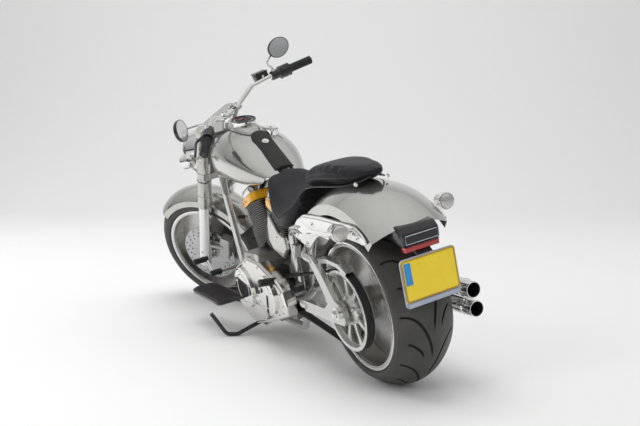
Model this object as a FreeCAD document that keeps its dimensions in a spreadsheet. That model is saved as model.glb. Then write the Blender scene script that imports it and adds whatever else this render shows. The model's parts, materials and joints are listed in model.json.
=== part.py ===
import FreeCAD, Part
import math
import os
import Sketcher

# Cruiser motorcycle, modelled upright in its own frame and then set down on its side stand.
# Own frame: origin under the rear axle on the tyre plane, X ahead, Y to the left, Z up.

V = FreeCAD.Vector
os.makedirs("parts", exist_ok=True)
doc = FreeCAD.newDocument("cruiser")

# Driving sizes in millimetres and degrees
SIZES = [
    ("wheelbase", 1665, "rear axle to front axle, wheels straight"),
    ("tyre_radius", 324.5, "both wheels"),
    ("rake", 30, "steering axis from upright"),
    ("trail", 104, "steering axis ahead of the front contact"),
    ("steer_rest", 34, "steering turned left against its stop"),
    ("lean", 12.09, "lean to the left on the side stand"),
    ("shift_ahead", 794, "stored origin ahead of the rear contact"),
    ("shift_left", 153, "stored origin left of the rear contact"),
    ("rear_tyre_half", 120, "half width"),
    ("front_tyre_half", 80, "half width"),
    ("rear_rim_half", 112, "half width over the rim lips"),
    ("front_rim_half", 71.5, "half width over the rim lips"),
    ("rear_crown", 150, "tread radius across the rear tyre"),
    ("front_crown", 85, "tread radius across the front tyre"),
    ("rim_lip", 243, "radius of the rim lips"),
    ("rim_seat", 228, "radius of the bead seat"),
    ("rim_wall", 8, "thickness of rim and disc"),
    ("axle_radius", 12.5, "both axles"),
    ("running_gap", 0.05, "radial gap of a turning fit"),
    ("rear_hub", 62, "hub radius"),
    ("front_hub", 40, "hub radius"),
    ("pulley_radius", 148, "belt seat of the rear pulley"),
    ("pulley_inner", 130, "inner face from the middle plane"),
    ("pulley_outer", 168, "outer face from the middle plane"),
    ("drive_radius", 62, "front pulley"),
    ("drive_ahead", 500, "front pulley ahead of the rear axle"),
    ("drive_height", 300, "front pulley"),
    ("belt_thick", 5, "belt"),
    ("fender_crest", 447, "outer radius of the rear fender about the axle"),
    ("fender_edge", 356, "radius of the lower edge of the rear fender"),
    ("fender_half", 156, "half width of the rear fender"),
    ("sheet_wall", 3, "thickness of pressed panels"),
    ("front_fender_crest", 347, "outer radius of the front fender about the axle"),
    ("front_fender_half", 86, "half width of the front fender"),
    ("fork_spread", 120, "fork legs from the middle plane"),
    ("fork_tube", 24.5, "radius of the upper fork tubes"),
    ("fork_slider", 31, "radius of the lower fork legs"),
    ("fork_top", 905, "height of the upper clamp"),
    ("frame_tube", 16, "radius of the cradle tubes"),
    ("head_radius", 36, "outer radius of the steering head"),
    ("stem_radius", 22, "steering stem"),
    ("crank_ahead", 850, "crankshaft ahead of the rear axle"),
    ("crank_height", 290, "crankshaft"),
    ("bank_angle", 22.5, "each cylinder from upright"),
    ("fin_pitch", 9.5, "cooling fins"),
    ("fin_thick", 3.2, "cooling fins"),
    ("fin_half", 82, "half width of the cooling fins"),
    ("muffler_radius", 33, "mufflers"),
    ("muffler_out", 230, "mufflers right of the middle plane"),
    ("muffler_upper", 329, "height of the upper muffler"),
    ("muffler_lower", 257, "height of the lower muffler"),
    ("bar_radius", 12.7, "handlebar tube"),
    ("grip_radius", 17.5, "rubber grips"),
    ("grip_end", 463, "grip ends from the middle plane"),
    ("plate_width", 210, "licence plate"),
    ("plate_height", 143, "licence plate"),
    ("front_disc_radius", 150, "brake disc"),
    ("rear_disc_radius", 146, "brake disc"),
    ("stand_radius", 9, "side stand rod"),
]

sheet = doc.addObject("Spreadsheet::Sheet", "Sizes")
for row, (alias, amount, note) in enumerate(SIZES, start=1):
    sheet.set("A%d" % row, alias.replace("_", " "))
    sheet.set("B%d" % row, str(amount))
    sheet.set("C%d" % row, note)
    sheet.setAlias("B%d" % row, alias)
doc.recompute()


class Size:
    """A size known both as a number and as a formula on the size sheet."""

    def __init__(self, text, number):
        self.text = text
        self.number = number

    def join(self, other, sign, result):
        return Size("(%s %s %s)" % (self.text, sign, as_size(other).text), result)

    def __add__(self, other):
        return self.join(other, "+", self.number + float(other))

    def __sub__(self, other):
        return self.join(other, "-", self.number - float(other))

    def __mul__(self, other):
        return self.join(other, "*", self.number * float(other))

    def __truediv__(self, other):
        return self.join(other, "/", self.number / float(other))

    def __neg__(self):
        return Size("(0 - %s)" % self.text, -self.number)

    def __float__(self):
        return float(self.number)

    def root(self):
        return Size("sqrt(%s)" % self.text, math.sqrt(self.number))


def as_size(amount):
    return amount if isinstance(amount, Size) else Size(repr(float(amount)), float(amount))


class Sheet:
    """Every alias of the sheet as a Size (s) or as a number (n)."""


s = Sheet()
n = Sheet()
for alias, amount, note in SIZES:
    setattr(s, alias, Size("Sizes." + alias, float(sheet.get(alias))))
    setattr(n, alias, float(sheet.get(alias)))


# Stance: the ground touches both tyres, and the machine leans on its stand

def steering_axis():
    rake = math.radians(n.rake)
    return V(n.wheelbase + n.trail, 0, 0), V(-math.sin(rake), 0, math.cos(rake))


def steer_placement():
    point, axis = steering_axis()
    turn = FreeCAD.Rotation(axis, n.steer_rest)
    return FreeCAD.Placement(point - turn.multVec(point), turn)


def lowest(centre, spin_axis, crown, up):
    across = spin_axis.dot(up)
    return centre.dot(up) - (n.tyre_radius - crown) * math.sqrt(1 - across * across) - crown


def ground():
    """World up and the ground's distance, both in the upright frame."""
    lean = math.radians(n.lean)
    steer = steer_placement()
    rear = V(0, 0, n.tyre_radius)
    front = steer.multVec(V(n.wheelbase, 0, n.tyre_radius))
    front_axis = steer.Rotation.multVec(V(0, 1, 0))
    pitch = 0.0
    for step in range(30):
        up = V(math.sin(pitch) * math.cos(lean), -math.sin(lean), math.cos(lean) * math.cos(pitch))
        up.normalize()
        rear_low = lowest(rear, V(0, 1, 0), n.rear_crown, up)
        front_low = lowest(front, front_axis, n.front_crown, up)
        pitch -= (front_low - rear_low) / front.x
    return up, rear_low


def stance_placement():
    up, level = ground()
    ahead = V(1, 0, 0) - up * up.x
    ahead.normalize()
    left = up.cross(ahead)
    matrix = FreeCAD.Matrix(
        ahead.x, ahead.y, ahead.z, -n.shift_ahead,
        left.x, left.y, left.z, -n.shift_left,
        up.x, up.y, up.z, -level,
        0, 0, 0, 1)
    return FreeCAD.Placement(matrix)


STANCE = stance_placement()
STEERED = STANCE.multiply(steer_placement())
UP, GROUND_LEVEL = ground()
REAR_AXLE = FreeCAD.Placement(V(0, 0, n.tyre_radius), FreeCAD.Rotation())
FRONT_AXLE = FreeCAD.Placement(V(n.wheelbase, 0, n.tyre_radius), FreeCAD.Rotation())

sub_parts = []
upright = {}


# Common makers

def keep(obj, placement, local=None):
    """Note the upright shape of a finished piece, then set the piece down where it stands."""
    doc.recompute()
    shape = obj.Shape.copy()
    own = shape.Placement
    if local is not None:
        own = local.multiply(own)
    shape.Placement = own
    upright[obj.Label] = shape
    obj.Placement = placement.multiply(own)
    sub_parts.append(obj)


def add_shape(label, shape, placement):
    obj = doc.addObject("Part::Feature", label)
    obj.Label = label
    obj.Shape = shape
    keep(obj, placement)


def new_body(label):
    body = doc.addObject("PartDesign::Body", label)
    body.Label = label
    return body


def plane_of(body, role):
    return [item for item in body.Origin.OriginFeatures if item.Role == role][0]


def outline(body, name, role, steps, offset=None):
    """A closed sketch; a step is (x, y), or (x, y, mid_x, mid_y, radius) for an arc on the mid point's side."""
    sketch = body.newObject("Sketcher::SketchObject", name)
    sketch.AttachmentSupport = [(plane_of(body, role), "")]
    sketch.MapMode = "FlatFace"
    if offset is not None:
        offset = as_size(offset)
        sketch.AttachmentOffset = FreeCAD.Placement(V(0, 0, offset.number), FreeCAD.Rotation())
        sketch.setExpression("AttachmentOffset.Base.z", offset.text)
    steps = [[as_size(item) for item in step] for step in steps]
    count = len(steps)
    for index, step in enumerate(steps):
        before = steps[index - 1]
        start = V(before[0].number, before[1].number, 0)
        end = V(step[0].number, step[1].number, 0)
        if len(step) == 5:
            middle = V(step[2].number, step[3].number, 0)
            sketch.addGeometry(Part.Arc(start, middle, end), False)
        else:
            sketch.addGeometry(Part.LineSegment(start, end), False)
    ends = []
    for index, step in enumerate(steps):
        forward = True
        if len(step) == 5:
            end = V(step[0].number, step[1].number, 0)
            forward = sketch.getPoint(index, 2).distanceToPoint(end) < 1e-6
        ends.append((1, 2) if forward else (2, 1))
    for index in range(count):
        following = (index + 1) % count
        sketch.addConstraint(Sketcher.Constraint(
            "Coincident", index, ends[index][1], following, ends[following][0]))
    for index, step in enumerate(steps):
        bind_point(sketch, index, ends[index][1], step[0], step[1])
        if len(step) == 5:
            made = sketch.addConstraint(Sketcher.Constraint("Radius", index, step[4].number))
            sketch.setExpression("Constraints[%d]" % made, step[4].text)
    return sketch


def arc_radius(half_chord, rise):
    """Radius of an arc by half its chord and its rise."""
    return (half_chord * half_chord + rise * rise) / (rise * 2)


def bind_point(sketch, geometry, vertex, x, y):
    for kind, size in (("DistanceX", x), ("DistanceY", y)):
        made = sketch.addConstraint(Sketcher.Constraint(kind, -1, 1, geometry, vertex, size.number))
        sketch.setExpression("Constraints[%d]" % made, size.text)


def circle(body, name, role, x, y, radius, offset=None):
    sketch = body.newObject("Sketcher::SketchObject", name)
    sketch.AttachmentSupport = [(plane_of(body, role), "")]
    sketch.MapMode = "FlatFace"
    if offset is not None:
        offset = as_size(offset)
        sketch.AttachmentOffset = FreeCAD.Placement(V(0, 0, offset.number), FreeCAD.Rotation())
        sketch.setExpression("AttachmentOffset.Base.z", offset.text)
    x = as_size(x)
    y = as_size(y)
    radius = as_size(radius)
    sketch.addGeometry(Part.Circle(V(x.number, y.number, 0), V(0, 0, 1), radius.number), False)
    bind_point(sketch, 0, 3, x, y)
    made = sketch.addConstraint(Sketcher.Constraint("Radius", 0, radius.number))
    sketch.setExpression("Constraints[%d]" % made, radius.text)
    return sketch


def pad(body, sketch, length):
    length = as_size(length)
    feature = body.newObject("PartDesign::Pad", sketch.Name + "_pad")
    feature.Profile = sketch
    feature.Length = length.number
    feature.setExpression("Length", length.text)
    doc.recompute()
    return feature


def pocket(body, sketch, length):
    length = as_size(length)
    feature = body.newObject("PartDesign::Pocket", sketch.Name + "_cut")
    feature.Profile = sketch
    feature.Length = length.number
    feature.setExpression("Length", length.text)
    doc.recompute()
    return feature


def turned(body, name, steps):
    """A ring turned about the wheel axis; steps are (radius, distance to the left)."""
    sketch = outline(body, name, "XY_Plane", steps)
    feature = body.newObject("PartDesign::Revolution", name + "_turn")
    feature.Profile = sketch
    feature.ReferenceAxis = (sketch, ["V_Axis"])
    feature.Angle = 360
    doc.recompute()
    return feature


def round_edges(body, feature, names, radius):
    radius = as_size(radius)
    made = body.newObject("PartDesign::Fillet", body.Name + "_round%d" % len(body.Group))
    made.Base = (feature, names)
    made.Radius = radius.number
    made.setExpression("Radius", radius.text)
    doc.recompute()
    return made


def slab(points, low_y, high_y):
    """A plate with an outline in the X-Z plane, between two distances to the left."""
    corners = [V(x, low_y, z) for x, z in points]
    face = Part.Face(Part.makePolygon(corners + corners[:1]))
    return face.extrude(V(0, high_y - low_y, 0))


def rod(start, end, radius, end_radius=None):
    direction = end - start
    if end_radius is None:
        return Part.makeCylinder(radius, direction.Length, start, direction)
    return Part.makeCone(radius, end_radius, direction.Length, start, direction)


def tube(points, radius, bend):
    """A round bar along straight runs joined by tangent arcs."""
    points = [V(*point) for point in points]
    edges = []
    start = points[0]
    for index in range(1, len(points) - 1):
        corner = points[index]
        back = (points[index - 1] - corner).normalize()
        on = (points[index + 1] - corner).normalize()
        half = back.getAngle(on) / 2
        if half > math.pi / 2 - 0.01:
            continue
        room = min(corner.distanceToPoint(points[index + 1]) / 2.02, corner.distanceToPoint(start) * 0.98)
        reach = min(bend / math.tan(half), room)
        first = corner + back * reach
        last = corner + on * reach
        turn_radius = reach * math.tan(half)
        inward = (back + on).normalize()
        centre = corner + inward * (reach / math.cos(half))
        middle = centre - inward * turn_radius
        edges.append(Part.makeLine(start, first))
        edges.append(Part.Arc(first, middle, last).toShape())
        start = last
    edges.append(Part.makeLine(start, points[-1]))
    path = Part.Wire(edges)
    ring = Part.Wire(Part.makeCircle(radius, points[0], points[1] - points[0]))
    return path.makePipeShell([ring], True, False)


def oval(x, half_width, low, high, power, count=16, shift_y=0.0):
    """A closed, rounded section across the machine at one distance ahead."""
    middle = (low + high) / 2
    points = []
    for index in range(count):
        angle = 2 * math.pi * index / count
        across = math.cos(angle)
        rise = math.sin(angle)
        y = half_width * math.copysign(abs(across) ** (2.0 / power), across)
        z = (high - low) / 2 * math.copysign(abs(rise) ** (2.0 / power), rise)
        points.append(V(x, y + shift_y, middle + z))
    curve = Part.BSplineCurve()
    curve.interpolate(points, PeriodicFlag=True)
    return Part.Wire(curve.toShape())


def skin_loft(sections):
    return Part.makeLoft(sections, True, False)


def mirrored(shape):
    return shape.mirror(V(0, 0, 0), V(0, 1, 0))


def both_sides(shape):
    return Part.makeCompound([shape, mirrored(shape)])


def joined(shapes):
    result = shapes[0].fuse(shapes[1:]) if len(shapes) > 1 else shapes[0]
    return result.removeSplitter()


def trimmed(shape, labels):
    for label in labels:
        shape = shape.cut(upright[label])
    return shape


def chunk(x, y, z, long, wide, tall, radius=0.0):
    """A box by its centre, with rounded edges where a radius is given."""
    box = Part.makeBox(long, wide, tall, V(x - long / 2, y - wide / 2, z - tall / 2))
    return box.makeFillet(radius, box.Edges) if radius > 0 else box


# Wheels

def make_tyre(label, half, rim_half, crown, axle, placement):
    body = new_body(label)
    bead_in = rim_half - 6.3
    flange = s.rim_lip + 1.5
    side = s.rim_lip + 15
    shoulder = half * 0.93
    centre = s.tyre_radius - crown
    shoulder_r = centre + (crown * crown - shoulder * shoulder).root()
    wall = 9
    inner_crown = crown - wall
    inner_y = shoulder - wall
    inner_r = centre + (inner_crown * inner_crown - inner_y * inner_y).root()
    seat = s.rim_seat + 0.3
    steps = [
        (seat, bead_in - 12), (seat, bead_in), (flange, bead_in), (side, half),
        (shoulder_r, shoulder), (shoulder_r, -shoulder, s.tyre_radius, 0, crown), (side, -half),
        (flange, -bead_in), (seat, -bead_in), (seat, -(bead_in - 12)), (flange, -(bead_in - 8)),
        (side, -(half - wall)), (inner_r, -inner_y),
        (inner_r, inner_y, s.tyre_radius - wall, 0, inner_crown), (side, half - wall), (flange, bead_in - 8)]
    turned(body, label + "_section", steps)
    keep(body, placement, axle)


def make_wheel(label, rim_half, hub, hub_half, disc_rim, disc_hub, axle, placement):
    """Rim barrel, dished disc and hub turned in one piece."""
    body = new_body(label)
    flange = rim_half - 6
    barrel = s.rim_seat - s.rim_wall
    bore = s.axle_radius + s.running_gap
    thick = s.rim_wall / 2
    steps = [
        (s.rim_lip, rim_half), (s.rim_lip, flange), (s.rim_seat, flange), (s.rim_seat, -flange),
        (s.rim_lip, -flange), (s.rim_lip, -rim_half), (barrel + 6, -rim_half), (barrel, -(rim_half - 10)),
        (barrel, disc_rim - thick), (hub + 60, disc_hub - thick - 6), (hub, disc_hub - thick),
        (hub, -hub_half), (bore, -hub_half), (bore, hub_half), (hub, hub_half),
        (hub, disc_hub + thick), (hub + 60, disc_hub + thick - 6), (barrel, disc_rim + thick),
        (barrel, rim_half - 10), (barrel + 6, rim_half)]
    turned(body, label + "_section", steps)
    keep(body, placement, axle)


def make_pulley():
    body = new_body("rear_pulley")
    bore = s.axle_radius + s.running_gap
    inner = s.pulley_inner
    outer = s.pulley_outer
    edge = s.pulley_radius
    steps = [
        (bore, 96), (s.rear_hub, 96), (s.rear_hub, inner + 8), (edge - 10, inner + 12), (edge - 10, inner),
        (edge + 5, inner), (edge + 5, inner + 3), (edge, inner + 3), (edge, outer - 3), (edge + 5, outer - 3),
        (edge + 5, outer), (edge - 10, outer), (edge - 14, inner + 20), (s.rear_hub, inner + 16),
        (s.rear_hub - 22, outer - 8), (bore, outer - 8)]
    turned(body, "pulley_section", steps)
    keep(body, STANCE, REAR_AXLE)


def make_disc(label, radius, left, carrier, axle, placement):
    body = new_body(label)
    steps = [(radius, left), (radius, left + 5), (radius - 38, left + 5),
             (radius - 42, left + carrier), (s.axle_radius + 14, left + carrier),
             (s.axle_radius + 14, left + carrier - 5), (radius - 42, left + carrier - 5), (radius - 42, left)]
    turned(body, label + "_section", steps)
    keep(body, placement, axle)


make_tyre("rear_tyre", s.rear_tyre_half, s.rear_rim_half, s.rear_crown, REAR_AXLE, STANCE)
make_tyre("front_tyre", s.front_tyre_half, s.front_rim_half, s.front_crown, FRONT_AXLE, STEERED)
make_wheel("rear_wheel", s.rear_rim_half, s.rear_hub, 96, as_size(22), as_size(44), REAR_AXLE, STANCE)
make_wheel("front_wheel", s.front_rim_half, s.front_hub, 76, as_size(-8), as_size(6), FRONT_AXLE, STEERED)
make_pulley()


def ring_disc(label, radius, left, right, inner, axle, placement):
    body = new_body(label)
    turned(body, label + "_section", [(inner, right), (radius, right), (radius, left), (inner, left)])
    keep(body, placement, axle)


ring_disc("rear_brake_disc", s.rear_disc_radius, -96, -102, s.axle_radius + 14, REAR_AXLE, STANCE)
ring_disc("front_brake_disc", s.front_disc_radius, 82, 76, s.axle_radius + 14, FRONT_AXLE, STEERED)


# Rear fender and what it carries

def arch_steps(crest, edge, half):
    """Half-round section of a fender, drawn as (distance left, radius)."""
    wall = s.sheet_wall
    spring = edge + (crest - edge) * 0.42
    brow = half * 0.97
    outer = arc_radius(brow, crest - spring)
    inner = arc_radius(brow - wall, crest - wall - spring)
    return [
        (half, edge), (brow, spring), (-brow, spring, 0, crest, outer), (-half, edge),
        (-(half - wall), edge), (-(brow - wall), spring), (brow - wall, spring, 0, crest - wall, inner),
        (half - wall, edge)]


def make_fender(label, crest, edge, half, front_angle, rear_angle, axle, placement):
    """The arch section swept round the axle from the front angle to the rear angle."""
    body = new_body(label)
    sketch = outline(body, label + "_section", "YZ_Plane", arch_steps(crest, edge, half))
    sweep = body.newObject("PartDesign::Revolution", label + "_turn")
    sweep.Profile = sketch
    sweep.ReferenceAxis = (sketch, ["H_Axis"])
    sweep.Type = "TwoAngles"
    sweep.Angle = front_angle
    sweep.Angle2 = rear_angle
    doc.recompute()
    keep(body, placement, axle)
    return body


make_fender("rear_fender", s.fender_crest, s.fender_edge, s.fender_half, 36, 44, REAR_AXLE, STANCE)
make_fender("front_fender", s.front_fender_crest, s.front_fender_crest - 70, s.front_fender_half,
            35, 72, FRONT_AXLE, STEERED)

STRUT_POINTS = [(360, 574), (285, 635), (208, 667), (64, 672), (-100, 669), (-182, 666), (-265, 628), (-293, 611),
                (-236, 605), (-195, 608), (-110, 612), (5, 596), (112, 593), (169, 559), (219, 524), (257, 539)]


def make_struts():
    half = n.fender_half
    add_shape("fender_struts", both_sides(slab(STRUT_POINTS, half + 0.3, half + 14)), STANCE)


def make_rear_lamps():
    half = n.fender_half
    stalk = rod(V(-168, half + 14, 645), V(-168, 200, 654), 7)
    lamp = rod(V(-200, 217, 654), V(-140, 217, 654), 31)
    add_shape("rear_signals", both_sides(trimmed(joined([stalk, lamp]), ["fender_struts"])), STANCE)


def make_tail():
    housing = joined([chunk(-300, 0, 622, 46, 150, 64, 8), chunk(-318, 0, 580, 22, 140, 30, 4)])
    bracket = joined([chunk(-352, 0, 500, 14, 60, 170), chunk(-335, 0, 575, 40, 60, 16)])
    bracket = trimmed(bracket, ["rear_fender"])
    housing = trimmed(housing.cut(bracket), ["rear_fender"])
    add_shape("tail_lamp", housing, STANCE)
    add_shape("plate_bracket", bracket, STANCE)
    plate = Part.makeBox(2, n.plate_width, n.plate_height, V(-1, -n.plate_width / 2, -n.plate_height / 2))
    plate.Placement = FreeCAD.Placement(V(-360.3, 0, 474), FreeCAD.Rotation())
    add_shape("licence_plate", plate, STANCE)


make_struts()
make_rear_lamps()
make_tail()


# Frame and swingarm

STAND_ROOT = V(880, 152, 106)
STAND_AXIS = V(0.06, 0.26, 0.96).normalize()


def on_stand_axis(shape):
    """Sets a shape made about local Z on the hinge of the side stand."""
    shape.Placement = FreeCAD.Placement(STAND_ROOT, FreeCAD.Rotation(V(0, 0, 1), STAND_AXIS))
    return shape


def stand_clevis():
    """Two lugs and a pin that hold the knuckle of the side stand."""
    lugs = [Part.makeBox(36, 76, 7, V(-18, -60, low)) for low in (-23.4, 16.4)]
    pin = Part.makeCylinder(6, 46, V(0, 0, -23))
    return on_stand_axis(joined(lugs + [pin]))


def make_frame():
    foot, axis = steering_axis()
    slope = axis.x / axis.z
    low = V(foot.x + slope * 775, 0, 775)
    high = V(foot.x + slope * 885, 0, 885)
    head = rod(low, high, n.head_radius)
    backbone = tube([(high.x + 5, 0, 825), (800, 0, 800), (620, 0, 700), (470, 0, 600)], 27, 120)
    pieces = [head, backbone]
    for side in (1, -1):
        cradle = tube([(1300, side * 24, 800), (1225, side * 92, 720), (1205, side * 100, 640), (1160, side * 100, 330),
                       (1135, side * 100, 120), (560, side * 100, 120), (470, side * 118, 200),
                       (470, side * 118, 560), (470, side * 20, 600)], n.frame_tube, 60)
        pieces.append(cradle)
        upright_plate = slab([(428, 500), (458, 505), (500, 432), (535, 349), (556, 258), (524, 258), (500, 349),
                              (462, 432)], 104 * side, 131 * side)
        pieces.append(upright_plate)
        rail = tube([(470, side * 118, 560), (400, side * 140, 585), (300, side * 147, 605)], 12, 40)
        pieces.append(rail)
    pieces.append(rod(V(500, -120, 300), V(500, 120, 300), 20))
    pieces.append(stand_clevis())
    bore = rod(low - axis * 5, high + axis * 5, n.stem_radius + n.running_gap)
    frame = joined(pieces).cut(bore)
    add_shape("frame", trimmed(frame, ["fender_struts", "rear_fender"]), STANCE)


def make_swingarm():
    pieces = []
    for side, low, high in ((1, 172, 194), (-1, -180, -150)):
        middle = (low + high) / 2
        plate = slab([(-45, 300), (-30, 352), (20, 366), (45, 396), (78, 440), (123, 490), (160, 512), (190, 500),
                      (150, 455), (110, 400), (78, 345), (120, 318), (300, 316), (300, 272), (60, 276), (-30, 280)],
                     low, high)
        lower = tube([(285, middle, 294), (340, middle, 294), (430, side * 92, 300), (500, side * 80, 300)], 17, 50)
        upper = tube([(160, middle, 496), (235, middle, 504), (330, side * 90, 545), (372, side * 40, 560),
                      (372, 0, 560)], 15, 50)
        brace = tube([(372, side * 60, 560), (430, side * 70, 420), (492, side * 70, 305)], 14, 40)
        pieces += [plate, lower, upper, brace]
    pieces.append(rod(V(500, -78, 300), V(500, 78, 300), 30))
    arm = joined(pieces)
    arm = arm.cut(rod(V(0, -250, n.tyre_radius), V(0, 250, n.tyre_radius), n.axle_radius))
    arm = arm.cut(rod(V(500, -250, 300), V(500, 250, 300), 20))
    arm = trimmed(arm, ["frame", "fender_struts"])
    add_shape("swingarm", arm, STANCE)


make_frame()
make_swingarm()


def make_axles():
    rear = rod(V(0, -184, n.tyre_radius), V(0, 194, n.tyre_radius), n.axle_radius)
    nut = rod(V(0, 194, n.tyre_radius), V(0, 204, n.tyre_radius), 20)
    far_nut = rod(V(0, -190, n.tyre_radius), V(0, -180, n.tyre_radius), 18)
    add_shape("rear_axle", joined([rear, nut, far_nut]), STANCE)
    reach = n.fork_spread + n.fork_slider
    front = rod(V(n.wheelbase, -reach - 4, n.tyre_radius), V(n.wheelbase, reach + 4, n.tyre_radius), n.axle_radius)
    add_shape("front_axle", front, STEERED)


make_axles()


def belt_line(radius_rear, radius_front):
    """Closed run round both pulleys as a face in the X-Z plane."""
    rear = V(0, 0, n.tyre_radius)
    front = V(n.drive_ahead, 0, n.drive_height)
    along = front - rear
    reach = along.Length
    tilt = math.atan2(along.z, along.x)
    spread = math.acos((radius_rear - radius_front) / reach)
    ends = []
    for side in (1, -1):
        angle = tilt + side * spread
        normal = V(math.cos(angle), 0, math.sin(angle))
        ends.append((rear + normal * radius_rear, front + normal * radius_front))
    unit = V(along.x, 0, along.z).normalize()
    edges = [
        Part.makeLine(ends[0][0], ends[0][1]),
        Part.Arc(ends[0][1], front + unit * radius_front, ends[1][1]).toShape(),
        Part.makeLine(ends[1][1], ends[1][0]),
        Part.Arc(ends[1][0], rear - unit * radius_rear, ends[0][0]).toShape()]
    return Part.Face(Part.Wire(edges))


def make_belt():
    gap = 0.4
    low = n.pulley_inner + 4.5
    wide = n.pulley_outer - n.pulley_inner - 9
    outer = belt_line(n.pulley_radius + gap + n.belt_thick, n.drive_radius + gap + n.belt_thick)
    inner = belt_line(n.pulley_radius + gap, n.drive_radius + gap)
    band = outer.cut(inner)
    band.translate(V(0, low, 0))
    belt = band.extrude(V(0, wide, 0))
    add_shape("drive_belt", belt, STANCE)
    centre = V(n.drive_ahead, 0, n.drive_height)
    pulley = rod(centre + V(0, 121, 0), centre + V(0, 170, 0), n.drive_radius).cut(upright["frame"])
    guard = slab([(236, 476), (160, 500), (60, 512), (-20, 506), (-76, 480), (-60, 465), (-10, 491), (60, 497),
                  (150, 484), (215, 460)], 169.5, 172)
    lip = slab([(215, 472), (150, 488), (60, 503), (-20, 499), (-70, 476), (-76, 480), (-20, 506), (60, 512),
                (160, 500), (236, 476)], 132, 170)
    add_shape("belt_guard", trimmed(joined([guard, lip]), ["swingarm"]), STANCE)
    add_shape("front_pulley", pulley, STANCE)


make_belt()


# Engine

def make_crankcase():
    low = slab([(1000, 215), (985, 330), (930, 415), (770, 425), (640, 415), (640, 150), (800, 142), (960, 150)], -135, 169)
    gearbox = slab([(640, 400), (560, 400), (560, 205), (590, 150), (640, 148)], -125, 121)
    case = joined([low, gearbox])
    add_shape("crankcase", trimmed(case, ["frame", "front_pulley", "drive_belt"]), STANCE)


def bank(sign):
    """Placement of a cylinder: local Z along its bore, from the crankshaft."""
    tilt = FreeCAD.Rotation(V(0, 1, 0), sign * n.bank_angle)
    return FreeCAD.Placement(V(n.crank_ahead, 0, n.crank_height), tilt)


def cut_corner_block(half_x, half_y, low, high, corner):
    points = [(half_x, half_y - corner), (half_x - corner, half_y), (-half_x + corner, half_y), (-half_x, half_y - corner),
              (-half_x, -half_y + corner), (-half_x + corner, -half_y), (half_x - corner, -half_y), (half_x, -half_y + corner)]
    corners = [V(x, y, low) for x, y in points]
    return Part.Face(Part.makePolygon(corners + corners[:1])).extrude(V(0, 0, high - low))


def make_cylinders():
    barrels = []
    bases = []
    covers = []
    for sign in (1, -1):
        core = cut_corner_block(n.fin_half - 20, n.fin_half - 20, 90, 340, 25)
        pieces = [core]
        level = 150.0
        while level + n.fin_thick < 340:
            wide = n.fin_half if level < 245 else n.fin_half - 4
            pieces.append(cut_corner_block(wide, wide + 4, level, level + n.fin_thick, 28))
            level += n.fin_pitch
        barrel = joined(pieces)
        barrel.Placement = bank(sign)
        barrels.append(barrel)
        base = cut_corner_block(80, 88, 340, 380, 20)
        base.Placement = bank(sign)
        bases.append(base)
        cover = cut_corner_block(74, 82, 380, 420, 22)
        cover.Placement = bank(sign)
        covers.append(cover)
    middle_cut = Part.makeBox(400, 400, 900, V(n.crank_ahead, -200, 0))
    front = [item.common(middle_cut) for item in (barrels[0], bases[0], covers[0])]
    rear = [item.cut(middle_cut.copy().translate(V(-0.6, 0, 0)) or middle_cut) for item in (barrels[1], bases[1], covers[1])]
    add_shape("cylinders", Part.makeCompound([trimmed(front[0], ["crankcase", "frame"]), trimmed(rear[0], ["crankcase", "frame"])]), STANCE)
    add_shape("rocker_bases", Part.makeCompound([trimmed(front[1], ["frame"]), trimmed(rear[1], ["frame"])]), STANCE)
    add_shape("rocker_covers", Part.makeCompound([trimmed(front[2], ["frame"]), trimmed(rear[2], ["frame"])]), STANCE)


PRIMARY_POINTS = [(965, 192), (968, 290), (931, 363), (790, 426), (649, 421), (495, 368), (440, 330), (425, 270),
                  (440, 225), (498, 204), (680, 150), (804, 121), (864, 136)]


def make_covers():
    case = slab(PRIMARY_POINTS, 172.5, 225)
    rim = [edge for edge in case.Edges if abs(edge.CenterOfMass.y - 225) < 0.1]
    case = case.makeFillet(14, rim)
    derby = rod(V(590, 220, 292), V(590, 236, 292), 84)
    rotor = rod(V(850, 220, 280), V(850, 234, 280), 92)
    add_shape("primary_cover", joined([case, derby, rotor]), STANCE)
    gear = joined([rod(V(870, -135, 285), V(870, -165, 285), 118), rod(V(790, -135, 330), V(790, -158, 330), 70)])
    add_shape("cam_cover", gear, STANCE)
    backing = rod(V(850, -10, 560), V(850, -150, 560), 34)
    manifold = rod(V(720, -28, 560), V(980, -28, 560), 24)
    filter_box = rod(V(850, -150, 560), V(850, -205, 560), 105)
    intake = trimmed(joined([backing, manifold, filter_box]), ["cylinders", "rocker_bases"])
    add_shape("air_cleaner", max(intake.Solids, key=lambda item: item.Volume), STANCE)


def make_pushrods():
    rods = []
    for sign in (1, -1):
        place = bank(sign)
        for spread in (-26, 26):
            foot = V(n.crank_ahead + sign * 40 + spread * 0.6, -112, 395)
            top = place.multVec(V(spread, -100, 338))
            rods.append(rod(foot, top, 9))
    add_shape("pushrod_tubes", Part.makeCompound([trimmed(item, ["crankcase", "cylinders", "rocker_bases", "air_cleaner", "cam_cover"]) for item in rods]), STANCE)


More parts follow.
